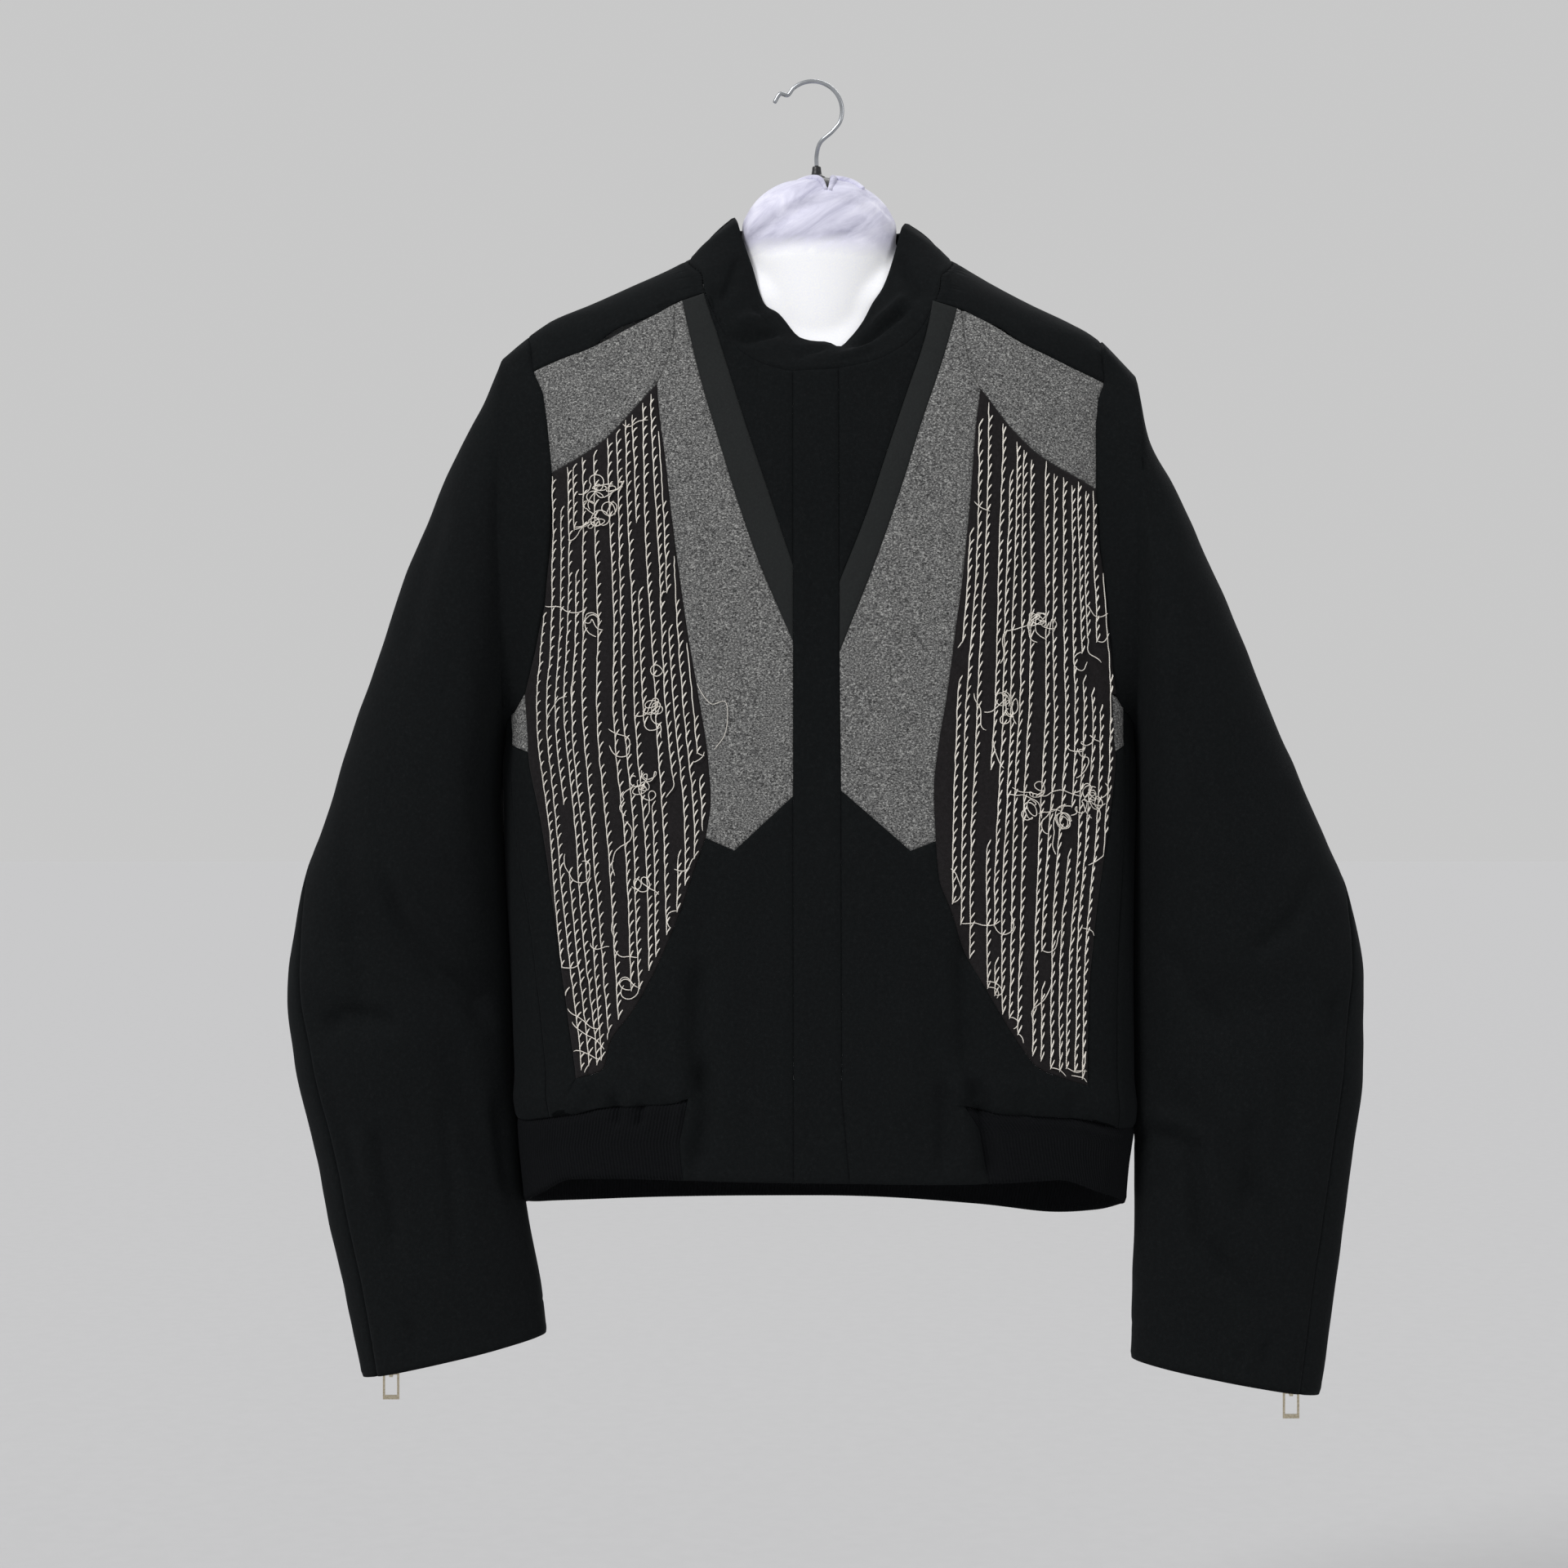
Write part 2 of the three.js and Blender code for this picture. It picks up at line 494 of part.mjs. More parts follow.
function bodyInner(u, v) {
  const n = v > 0.999 ? seamNormal(u) : normalOf(bodyWrapped, u, v);
  return bodyWrapped(u, v).addScaledVector(n, -outwards * CLOTH);
}

function collarFoot(u, v) {
  const p = collarWrapped(u, v);
  if (v < 0.001) {
    const up = collarWrapped(u, 0.1).sub(collarWrapped(u, 0)).normalize();
    p.addScaledVector(up, SEAM + 0.1);
  }
  return p;
}

function collarInner(u, v) {
  const n = v < 0.001 ? seamNormal(u) : normalOf(collarWrapped, u, Math.min(0.99, v));
  return collarFoot(u, v).addScaledVector(n, -outwards * COLLAR_CLOTH);
}

const shell = solid(wall(bodyWrapped, bodyInner, BODY_AROUND, BODY_ROWS, true));

function armBlock(side, by) {
  const s = side === 'L' ? -1 : 1;
  const line = seams['arm' + side];
  return block(inset([...line, [s * 320, -455], [s * 320, -172]], by), -160, 160);
}

function ribBlock(by) {
  const left = [...seams.ribTopL, ...seams.ribEndL.slice(1), [-290, BELOW_HEM], [-290, -738],
    [-206, -738]];
  const right = [...seams.ribTopR, ...seams.ribEndR.slice(1), [290, BELOW_HEM], [290, -744],
    [222, -744]];
  const back = [[-290, -738], [-206, -738], [-120, -743], [0, -747], [120, -747], [222, -744],
    [290, -744], [290, BELOW_HEM], [-290, BELOW_HEM]];
  return block(inset(left, by), -160, 0).add(block(inset(right, by), -160, 0))
    .add(block(inset(back, by), -0.5, 160));
}

const half = SEAM / 2;
let cloth = shell.subtract(armBlock('L', -half)).subtract(armBlock('R', -half));
const rev = (list) => [...list].reverse();
const S = seams;

// Outlines of the cut pieces of the front
function outlines(side) {
  const s = side === 'L' ? -1 : 1;
  const q = (name) => S[name + side];
  const out = s * 232;
  const yoke = q('yoke');
  const placketAt = q('placket');
  const grey = q('panelSide').slice(0, 2);
  return {
    v_inset: [...q('stripIn'), placketAt[0], [placketAt[0][0], -150], [s * 50, -138]],
    strip: [...q('stripIn'), ...rev(q('stripOut'))],
    lapel: [...q('stripOut'), ...rev(q('lapelEnd')), ...rev(q('lapel')).slice(1), ...rev(q('patchIn')).slice(1)],
    shoulder_patch: [...q('patchIn'), ...q('patchEnd').slice(1), [out, q('patchEnd').at(-1)[1]],
      [out, yoke.at(-1)[1]], ...rev(yoke).slice(0, -2)],
    panel: [...q('patchEnd'), [out, q('patchEnd').at(-1)[1]], [out, q('panelSide')[0][1]],
      ...q('panelSide'), ...rev(q('panelEnd')).slice(1), ...rev(q('lapel')).slice(1, -1)],
    lower_front: [...q('lapelEnd'), ...placketAt.slice(-2), ...rev(q('ribEnd')),
      ...rev(q('ribTop')).slice(1, -1), ...rev(q('panelEnd')).slice(0, -1)],
    side_grey: [...grey, q('side')[1], q('side')[0]],
    side: [...q('panelSide').slice(1), q('ribTop')[1], ...rev(q('side')).slice(0, -1)],
  };
}

const blackWool = { color: '#101113', roughness: 0.93, metalness: 0 };
const ribKnit = { color: '#15171a', roughness: 0.95, metalness: 0 };
const greyWool = { color: '#6b6b6a', roughness: 0.92, metalness: 0 };
const charcoal = { color: '#2a2b2c', roughness: 0.82, metalness: 0 };
const ground = { color: '#27242a', roughness: 0.88, metalness: 0 };
const cover = { color: '#e9e9f2', roughness: 0.85, metalness: 0 };
const plastic = { color: '#151517', roughness: 0.45, metalness: 0 };
const wire = { color: '#b9bcc0', roughness: 0.25, metalness: 1 };
const zipMetal = { color: '#b7ab93', roughness: 0.3, metalness: 1 };

const group = new THREE.Group();
function piece(name, geometry, look) {
  const flat = geometry.index ? geometry.toNonIndexed() : geometry;
  flat.computeVertexNormals();
  const mesh = new THREE.Mesh(flat, new THREE.MeshStandardMaterial(look));
  mesh.name = name;
  group.add(mesh);
}

const fabrics = {
  v_inset: blackWool, strip: charcoal, lapel: greyWool, shoulder_patch: greyWool, panel: ground,
  lower_front: blackWool, side_grey: greyWool, side: blackWool,
};
for (const side of ['L', 'R']) {
  const cuts = outlines(side);
  for (const name of Object.keys(cuts)) {
    const cut = cloth.intersect(block(inset(cuts[name], half), -160, 0));
    piece(name + '_' + side, geometryOf(cut), fabrics[name]);
  }
}

const placketLine = [...S.placketL, ...rev(S.placketR), [14.4, -150], [-17.2, -150]];
piece('placket', geometryOf(cloth.intersect(block(inset(placketLine, half), -160, 0))), blackWool);
piece('rib_band', geometryOf(cloth.intersect(ribBlock(half))), ribKnit);

const frontLine = [[-50, -138], [50, -138], ...S.yokeR, [232, -218.8], [232, -437.6], ...S.sideR,
  [210.2, BELOW_HEM], [-187.1, BELOW_HEM], ...rev(S.sideL), [-232, -437.3], [-232, -210.7],
  ...rev(S.yokeL)];
const back = cloth.subtract(block(inset(frontLine, -half), -160, 0)).subtract(ribBlock(-half));
piece('back', geometryOf(back), blackWool);

// Room kept round the body's upper edge, so that the collar's foot stands just clear of it
function roomAt(u, v, out) {
  const at = mix(1 - 4 / BODY_ROWS, 1, v);
  const p = bodyWrapped(u, at);
  const n = v > 0.999 ? seamNormal(u) : normalOf(bodyWrapped, u, at);
  if (v > 0.999) p.addScaledVector(collarWrapped(u, 0.1).sub(collarWrapped(u, 0)).normalize(), SEAM);
  return p.addScaledVector(n, out * outwards);
}
const roomOuter = (u, v) => roomAt(u, v, SEAM + 0.1);
const roomInner = (u, v) => roomAt(u, v, -CLOTH - 1.5);
const room = solid(wall(roomOuter, roomInner, BODY_AROUND, 4, true));
const collarWall = solid(wall(collarFoot, collarInner, BODY_AROUND, 4, true)).subtract(room);
piece('collar', geometryOf(collarWall), blackWool);

// Curve of the armhole from the shoulder down to the underarm, by its share of length
function alongLine(points, share) {
  const steps = points.slice(1).map((p, i) => Math.hypot(p[0] - points[i][0], p[1] - points[i][1]));
  const total = steps.reduce((a, b) => a + b, 0);
  let left = Math.min(1, Math.max(0, share)) * total;
  let i = 0;
  while (i < steps.length - 1 && left > steps[i]) {
    left -= steps[i];
    i += 1;
  }
  const t = left / steps[i];
  return { x: mix(points[i][0], points[i + 1][0], t), z: mix(points[i][1], points[i + 1][1], t) };
}

const armLength = 275;
function armholePoint(side, turn, sink) {
  const line = seams['arm' + side].slice(1);
  const s = side === 'L' ? -1 : 1;
  const lo = sink / armLength;
  const share = mix(lo, 1 - lo, (1 - Math.cos(turn)) / 2);
  const p = alongLine(line, share);
  const isBack = Math.sin(turn) < 0;
  const n = column(bodyRows, 'z', 'n', p.z);
  const w = column(bodyRows, 'z', s < 0 ? 'left' : 'right', p.z);
  const d = column(bodyRows, 'z', isBack ? 'back' : 'front', p.z);
  const full = Math.max(0, 1 - Math.min(1, Math.abs(p.x) / w) ** n) ** (1 / n) * d;
  const ends = Math.min(1, Math.abs(Math.sin(turn)) * 3);
  const deep = Math.max(0, full - sink) * ends;
  return new THREE.Vector3(p.x + s * (SEAM + 0.25), isBack ? deep : -deep, p.z);
}

// Sleeve section point: a row along the sleeve, a turn with 0 at the outer edge, sunk by a depth
function sleevePoint(side, row, deg, sink) {
  const rows = (side === 'L' ? sleeveRows.left : sleeveRows.right).map((r, i) => ({ ...r, i: i + 1 }));
  const turn = deg * rad;
  const k = Math.max(1, row);
  const v = {};
  for (const name of ['ox', 'oz', 'ix', 'iz', 'front', 'back']) v[name] = column(rows, 'i', name, k);
  const len = Math.hypot(v.ix - v.ox, v.iz - v.oz);
  const ux = (v.ox - v.ix) / len;
  const uz = (v.oz - v.iz) / len;
  const reach = len / 2 - sink;
  const isBack = Math.sin(turn) < 0;
  let deep = (isBack ? v.back : v.front) - sink;
  const folds = side === 'L' ? sleeveFolds.left : sleeveFolds.right;
  let fold = 0;
  for (const f of folds) {
    const a = (row - f.row) / f.rows;
    const b = turnBetween(deg, f.deg + f.slant * (row - f.row)) / f.turn;
    fold += f.deep * Math.exp(-a * a - b * b);
  }
  deep -= fold;
  const c = Math.sign(Math.cos(turn)) * Math.abs(Math.cos(turn)) ** 0.92;
  const sn = Math.sign(Math.sin(turn)) * Math.abs(Math.sin(turn)) ** 0.92;
  const p = new THREE.Vector3(
    (v.ox + v.ix) / 2 + ux * reach * c,
    -deep * sn,
    (v.oz + v.iz) / 2 + uz * reach * c,
  );
  if (row < 1) return armholePoint(side, turn, sink).lerp(p, row);
  return p;
}

function sleevePiece(side, from, to, turns) {
  const rows = (side === 'L' ? sleeveRows.left : sleeveRows.right).map((r, i) => ({ ...r, i: i + 1 }));
  const last = rows.length;
  const seamTurn = (row) => column(rows, 'i', 'seam', Math.max(1, row));
  const edge = 0.2;
  const grid = (sink) => (u, v) => {
    const row = v * last;
    const a = from(seamTurn(row));
    const b = to(seamTurn(row));
    const speed = sleevePoint(side, row, a + 1, 0).distanceTo(sleevePoint(side, row, a, 0));
    const speedB = sleevePoint(side, row, b - 1, 0).distanceTo(sleevePoint(side, row, b, 0));
    const deg = mix(a + edge / Math.max(0.2, speed), b - edge / Math.max(0.2, speedB), u);
    return sleevePoint(side, row, deg, sink);
  };
  return facingOut(wall(grid(0), grid(CLOTH), turns, last, false));
}

// Room kept round the body, so that the sleeves stand just clear of it
const clear = (by) => (u, v) => {
  const n = v > 0.999 ? seamNormal(u) : normalOf(bodyWrapped, u, v);
  return bodyWrapped(u, v).addScaledVector(n, outwards * by);
};
const bodyRoom = solid(wall(clear(SEAM + 0.05), clear(-CLOTH - 0.4), BODY_AROUND, BODY_ROWS, true))
  .subtract(armBlock('L', half)).subtract(armBlock('R', half));
const trimmed = (g) => {
  const parts = solid(g).subtract(bodyRoom).decompose();
  parts.sort((a, b) => b.volume() - a.volume());
  return geometryOf(parts[0]);
};

const INNER_SEAM = 202;
for (const side of ['L', 'R']) {
  const topPiece = sleevePiece(side, (s) => s, () => INNER_SEAM, SLEEVE_AROUND + 2);
  piece('top_sleeve_' + side, trimmed(topPiece), blackWool);
  const underPiece = sleevePiece(side, () => INNER_SEAM, (s) => s + 360, SLEEVE_AROUND);
  piece('under_sleeve_' + side, trimmed(underPiece), blackWool);
}

// Cuff zip inside each cuff: tape, slider with its lug, and the pull that hangs from it
const ZIP_TURN = 49;
for (const side of ['L', 'R']) {
  const end = sleeveRows.left.length;
  const tape = (sink) => (u, v) => sleevePoint(side, mix(end - 1.6, end - 0.22, v), ZIP_TURN + mix(-8, 8, u), sink);
  piece('zip_tape_' + side, facingOut(wall(tape(CLOTH + 1.07), tape(CLOTH + 2.27), 3, 4, false)), charcoal);
  const foot = sleevePoint(side, end, ZIP_TURN, CLOTH + 1.2);
  const pivot = new THREE.Vector3(foot.x, foot.y + 3.6, foot.z - 0.6);
  const slider = new THREE.BoxGeometry(8.4, 3.6, 10.4);
  slider.translate(pivot.x, pivot.y + 0.28, pivot.z + 8.0);
  const lugShape = new THREE.Shape();
  lugShape.absarc(0, 0, 2.4, 0, Math.PI * 2, false);
  const lugHole = new THREE.Path();
  lugHole.absarc(0, 0, 1.45, 0, Math.PI * 2, true);
  lugShape.holes.push(lugHole);
  const lug = new THREE.ExtrudeGeometry(lugShape, { depth: 2.4, bevelEnabled: false, curveSegments: 8 });
  lug.rotateY(Math.PI / 2);
  lug.translate(pivot.x - 1.2, pivot.y, pivot.z);
  const neck = new THREE.BoxGeometry(2.4, 1.8, 2);
  neck.translate(pivot.x, pivot.y, pivot.z + 2.7);
  piece('zip_slider_' + side, geometryOf(solid(slider).add(solid(lug)).add(solid(neck))), zipMetal);
  const bar = new THREE.CylinderGeometry(0.75, 0.75, PULL_WIDTH - 1, 8);
  bar.rotateZ(Math.PI / 2);
  const w = PULL_WIDTH / 2;
  const frame = new THREE.Shape([[-w, 0.7], [-w, -PULL_LENGTH], [w, -PULL_LENGTH], [w, 0.7],
    [w - 1.5, 0.7], [w - 1.5, 3 - PULL_LENGTH], [1.5 - w, 3 - PULL_LENGTH], [1.5 - w, 0.7],
  ].map(([x, z]) => new THREE.Vector2(x, z)));
  const flat = new THREE.ExtrudeGeometry(frame, { depth: 1.4, bevelEnabled: false });
  flat.rotateX(Math.PI / 2);
  flat.translate(0, 0.7, 0);
  const pull = geometryOf(solid(bar).add(solid(flat)));
  pull.translate(pivot.x, pivot.y, pivot.z);
  piece('zip_pull_' + side, pull, zipMetal);
}

// Torso form: a closed smooth body, its domed neck run into the shoulders
function stack(sections, around, squareness, tops) {
  const pos = [];
  const idx = [];
  for (const r of sections) {
    for (let i = 0; i < around; i += 1) {
      const p = sectionPoint(sections, -180 + (360 * i) / around, r.z, squareness);
      pos.push(p.x, p.y, p.z);
    }
  }
  const rows = sections.length;
  for (let j = 0; j < rows - 1; j += 1) {
    for (let i = 0; i < around; i += 1) {
      const a = j * around + i;
      const b = j * around + ((i + 1) % around);
      idx.push(a, a + around, b + around, a, b + around, b);
    }
  }
  const top = pos.length / 3;
  pos.push(...tops);
  for (let i = 0; i < around; i += 1) {
    const j = (i + 1) % around;
    const low = (rows - 1) * around;
    idx.push(top, i, j, low + i, top + 1, low + j);
  }
  const g = new THREE.BufferGeometry();
  g.setAttribute('position', new THREE.Float32BufferAttribute(pos, 3));
  g.setIndex(idx);
  return solid(facingOut(g));
}
const formNeck = stack(formNeckRows, 24, 2.0, [0, 8, -68.4, 0, 4, -226]);
const formTorso = stack(formRows, 28, 2.25, [0, 20, -120, 5, 0, formRows.at(-1).z - 4]);
piece('torso_form', geometryOf(formNeck.add(formTorso.translate([0, 0, FORM_LIFT]))), cover);

const fitting = new THREE.LatheGeometry([[0, -68], [6.4, -68], [6.4, -65.4], [3.6, -63.5], [3, FITTING_TOP],
  [0, FITTING_TOP]].map(([r, z]) => new THREE.Vector2(r, z)), 16);
fitting.rotateX(Math.PI / 2);
fitting.translate(0, 8, 0);
piece('hook_fitting', facingOut(mergeVertices(new THREE.BufferGeometry().copy(fitting).deleteAttribute('normal')
  .deleteAttribute('uv'), 1e-4)), plastic);

// Wire hook: shank from the fitting, round the saddle to the flicked tip
const hookPoints = [new THREE.Vector3(0, 8, FITTING_TOP + 0.6), new THREE.Vector3(0, 6, -50),
  new THREE.Vector3(2.5, 2, -42), new THREE.Vector3(11.5, 0, -34)];
for (let deg = -22; deg <= 148; deg += 17) {
  hookPoints.push(new THREE.Vector3(
    HOOK_CENTRE.x + HOOK_RADIUS * Math.cos(deg * rad),
    0,
    HOOK_CENTRE.z + HOOK_RADIUS * Math.sin(deg * rad),
  ));
}
hookPoints.push(new THREE.Vector3(-26, 0, -7.5), new THREE.Vector3(-30.4, 0, -14));
const ring = new THREE.Shape();
ring.absarc(0, 0, WIRE, 0, Math.PI * 2, false);
const hook = new THREE.ExtrudeGeometry(ring, {
  steps: 34, curveSegments: 3, bevelEnabled: false, extrudePath: new THREE.CatmullRomCurve3(hookPoints),
});
piece('hook', geometryOf(solid(hook)), wire);

export default group;
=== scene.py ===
# %% [markdown]
# # An embroidered wool jacket on a hanging form
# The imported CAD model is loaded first, as a fixed frame: every piece below is made where the CAD
# says, in metres, and rides on one of its bodies. Tables are in millimetres, because that is how a
# pattern cutter measures, and one factor turns them into metres.

# %% Load the frame
import json
import math
import random

import bpy
import numpy as np
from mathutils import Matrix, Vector, geometry, kdtree, noise

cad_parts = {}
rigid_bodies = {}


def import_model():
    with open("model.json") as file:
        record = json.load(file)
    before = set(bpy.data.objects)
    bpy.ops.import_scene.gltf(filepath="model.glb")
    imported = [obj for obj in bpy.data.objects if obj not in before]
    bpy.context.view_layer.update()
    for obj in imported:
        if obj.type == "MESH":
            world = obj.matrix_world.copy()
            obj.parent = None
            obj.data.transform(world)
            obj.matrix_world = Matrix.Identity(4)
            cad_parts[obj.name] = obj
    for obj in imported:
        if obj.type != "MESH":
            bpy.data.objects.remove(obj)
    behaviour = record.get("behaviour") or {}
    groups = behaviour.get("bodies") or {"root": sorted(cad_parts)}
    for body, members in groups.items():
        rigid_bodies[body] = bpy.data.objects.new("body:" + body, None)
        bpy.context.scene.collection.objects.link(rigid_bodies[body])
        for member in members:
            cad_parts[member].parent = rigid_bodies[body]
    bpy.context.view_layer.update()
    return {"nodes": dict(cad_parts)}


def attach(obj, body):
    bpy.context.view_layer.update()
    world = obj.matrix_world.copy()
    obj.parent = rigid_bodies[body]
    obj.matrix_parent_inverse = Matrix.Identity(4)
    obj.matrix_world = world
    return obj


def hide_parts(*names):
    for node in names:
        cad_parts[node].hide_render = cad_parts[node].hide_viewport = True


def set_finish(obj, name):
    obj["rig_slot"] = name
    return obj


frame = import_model()
MM = 0.001
scene = bpy.context.scene

# %% [markdown]
# ## Camera
# The photograph was taken level with the middle of the jacket. A camera about two metres in front
# of the chest, looking straight at it, gives the same slight widening of what is near.

# %% Camera
CHEST_Y = -85
VIEW_DISTANCE = 2000
FRAME_WIDTH = 1075.2
SENSOR = 36
VIEW_CENTRE = (-23.4, -500.8)
camera_data = bpy.data.cameras.new("front_camera")
camera_data.sensor_width = SENSOR
camera_data.sensor_fit = "HORIZONTAL"
camera_data.lens = SENSOR * VIEW_DISTANCE / FRAME_WIDTH
camera = bpy.data.objects.new("front_camera", camera_data)
camera.location = (VIEW_CENTRE[0] * MM, (CHEST_Y - VIEW_DISTANCE) * MM, VIEW_CENTRE[1] * MM)
camera.rotation_euler = (math.radians(90), 0, 0)
scene.collection.objects.link(camera)
scene.camera = camera
print("lens", round(camera_data.lens, 2), "mm")

# %% [markdown]
# ## The shape of the body
# The body of the jacket is a tube whose level sections are rounded ovals. Rows of a short table
# give each section's half widths and depths, and a smooth curve that never overshoots runs through
# the rows. The same table shapes the CAD solid, so the cloth here lies where the solid is.

# %% Sections of the body
# height, half width left and right, depth to front and back, squareness
BODY_ROWS = [
    (-112, 76, 80, 40, 58, 2), (-123, 85, 89, 48, 63, 2), (-134, 105, 107, 55, 67, 2),
    (-148, 136, 131, 59, 71, 2.05), (-160, 163, 154, 62, 74, 2.1), (-172, 191.5, 180, 64, 77, 2.1),
    (-185, 209.5, 203, 66, 79, 2.15), (-200, 214.5, 214, 68, 82, 2.2), (-240, 218, 220, 75, 86, 2.3),
    (-300, 220, 223, 82, 88, 2.4), (-380, 221, 225, 85, 88, 2.4), (-460, 221, 225, 86, 86, 2.45),
    (-560, 219, 224.5, 85, 83, 2.45), (-650, 217, 225, 84, 81, 2.4), (-700, 215, 225.5, 84, 80, 2.4),
    (-745, 212, 225.5, 83, 78, 2.4), (-775, 210, 222.5, 82, 75, 2.4), (-825, 206, 219, 81, 71, 2.4),
]
# turn about the body in degrees (0 at +X, -90 at the front), height of the hem
HEM_ROWS = [
    (-180, -799), (-170, -795), (-155, -787), (-140, -776), (-120, -774), (-90, -775.5), (-70, -777),
    (-50, -776), (-35, -786), (-20, -794), (0, -802), (20, -810), (40, -814), (60, -810), (90, -805),
    (130, -805), (160, -803), (180, -799),
]
# each seam of the front as (x, z), from the neck outwards and downwards
SEAMS = {
    "neckL": [(-82.3, -141.7), (-78.6, -157.3), (-71.6, -174.3), (-64.7, -187.8), (-48.8, -204.2),
        (-33.6, -211.3), (-17.2, -214.8)],
    "neckR": [(88.3, -142.3), (84.8, -156.9), (80.5, -168), (74.6, -179.5), (62, -194.3), (41, -206.6),
        (14.4, -212.5)],
    "yokeL": [(-79.1, -158.5), (-95.1, -163.4), (-118.4, -175.3), (-154.5, -194.1), (-183.2, -204.1),
        (-201.3, -210.7)],
    "yokeR": [(80.6, -163.8), (96.6, -168.8), (120.6, -179.3), (141.7, -192.8), (162.5, -201.9),
        (180.8, -209.7), (203.9, -218.8)],
    "stripInL": [(-79.1, -158.5), (-73.3, -177.8), (-64.7, -204.6), (-50.4, -251), (-34.6, -298.3),
        (-17.2, -350.7)],
    "stripInR": [(80.6, -163.8), (74.5, -190.6), (61.7, -229.6), (48, -270.4), (33.8, -313.5),
        (14.7, -361.9)],
    "stripOutL": [(-95.1, -163.4), (-90.9, -181.5), (-81, -221.3), (-67.3, -267.4), (-55.9, -304.4),
        (-40.2, -349.5), (-17.2, -402.8)],
    "stripOutR": [(96.6, -168.8), (86.3, -207.8), (70, -256), (56.3, -299.9), (38.8, -349.5),
        (14.7, -410.1)],
    "lapelL": [(-111.7, -223), (-109.8, -244.5), (-105.6, -275.5), (-101, -315.8), (-95.8, -354.8),
        (-89.6, -398.1), (-82.8, -436.9), (-75.5, -485.1), (-73.8, -512), (-77.2, -537.8)],
    "lapelR": [(112.9, -226.5), (109.2, -256), (104.8, -308.5), (100.2, -354.8), (95.6, -388.5),
        (88.8, -439.1), (83.1, -472.8), (79.7, -503.6), (80.9, -540.1)],
    "lapelEndL": [(-77.2, -537.8), (-57.6, -546.7), (-17.2, -509.2)],
    "lapelEndR": [(80.9, -540.1), (63.5, -546.8), (15.8, -505.3)],
    "patchInL": [(-99.6, -165.7), (-100, -187.2), (-102.7, -201.1), (-107.2, -213.8), (-111.7, -223)],
    "patchInR": [(101.7, -171), (102, -185.9), (103.5, -199.9), (107.4, -213.8), (112.9, -226.5)],
    "patchEndL": [(-111.7, -223), (-123.5, -236.1), (-148.5, -261.8), (-162.3, -271.1),
        (-186.3, -283.7)],
    "patchEndR": [(112.9, -226.5), (119.7, -235), (133.2, -252.6), (154.4, -272.6), (195.7, -294.8)],
    "panelEndL": [(-77.2, -537.8), (-84, -556.3), (-93, -583.3), (-103.2, -609.2), (-114, -633),
        (-128.7, -658.5), (-144.8, -680.9), (-148.8, -698), (-168, -705.5)],
    "panelEndR": [(80.9, -540.1), (83.2, -565.3), (91.6, -587.8), (100.2, -613.1), (116.1, -642.5),
        (141.2, -683.4), (152.7, -697.2), (169, -704.5), (188.5, -711)],
    "panelSideL": [(-205.4, -437.8), (-202.2, -478.5), (-194.4, -522.5), (-186.1, -578.2),
        (-178.5, -632), (-172.1, -677.3), (-168, -705.5)],
    "panelSideR": [(206.3, -437.9), (208, -478), (205, -512.2), (200, -552.1), (192.7, -608.9),
        (189.1, -654.2), (188.5, -711)],
    "sideL": [(-217.4, -437.3), (-214.6, -473.5), (-212, -516.9), (-203.8, -580.4), (-195.9, -645.9),
        (-190.6, -694.2), (-187.1, -733.6)],
    "sideR": [(215.4, -437.6), (215.3, -474), (213.9, -552.4), (210.7, -626.7), (209.9, -695.2),
        (210.2, -742.4)],
    "ribTopL": [(-187.1, -733.6), (-170.4, -730.7), (-150.6, -725.3), (-128.8, -723.4),
        (-104.4, -721.8), (-89.7, -717.6)],
    "ribTopR": [(210.2, -742.4), (188, -734.9), (157.4, -731.3), (122.9, -728.2), (100.2, -722.1)],
    "ribEndL": [(-89.7, -717.6), (-95.3, -748.1), (-92, -781.9), (-92, -850)],
    "ribEndR": [(100.2, -722.1), (112.7, -739.8), (119.6, -782.4), (119.6, -850)],
    "placketL": [(-17.2, -214.8), (-17.2, -350.7), (-17.2, -402.8), (-17.2, -509.2), (-16.7, -775),
        (-16.7, -850)],
    "placketR": [(14.4, -212.5), (14.7, -361.9), (14.7, -410.1), (15.8, -505.3), (16.4, -713.7),
        (22, -777), (22, -850)],
    "armL": [(-210, -172), (-206, -184.5), (-201.3, -210.7), (-193.6, -226.8), (-191, -244),
        (-186.3, -283.2), (-186.2, -305.5), (-187.9, -339.1), (-191.4, -375.5), (-197.4, -406.7),
        (-205, -437.5), (-213, -450), (-221, -455)],
    "armR": [(206, -172), (203.5, -187.5), (203.9, -218.8), (198.6, -231.2), (196.4, -249),
        (195.7, -294.8), (197.4, -329.7), (200.4, -352.4), (203.4, -386.6), (207, -420.8), (210, -440),
        (217, -451), (226, -455)],
}


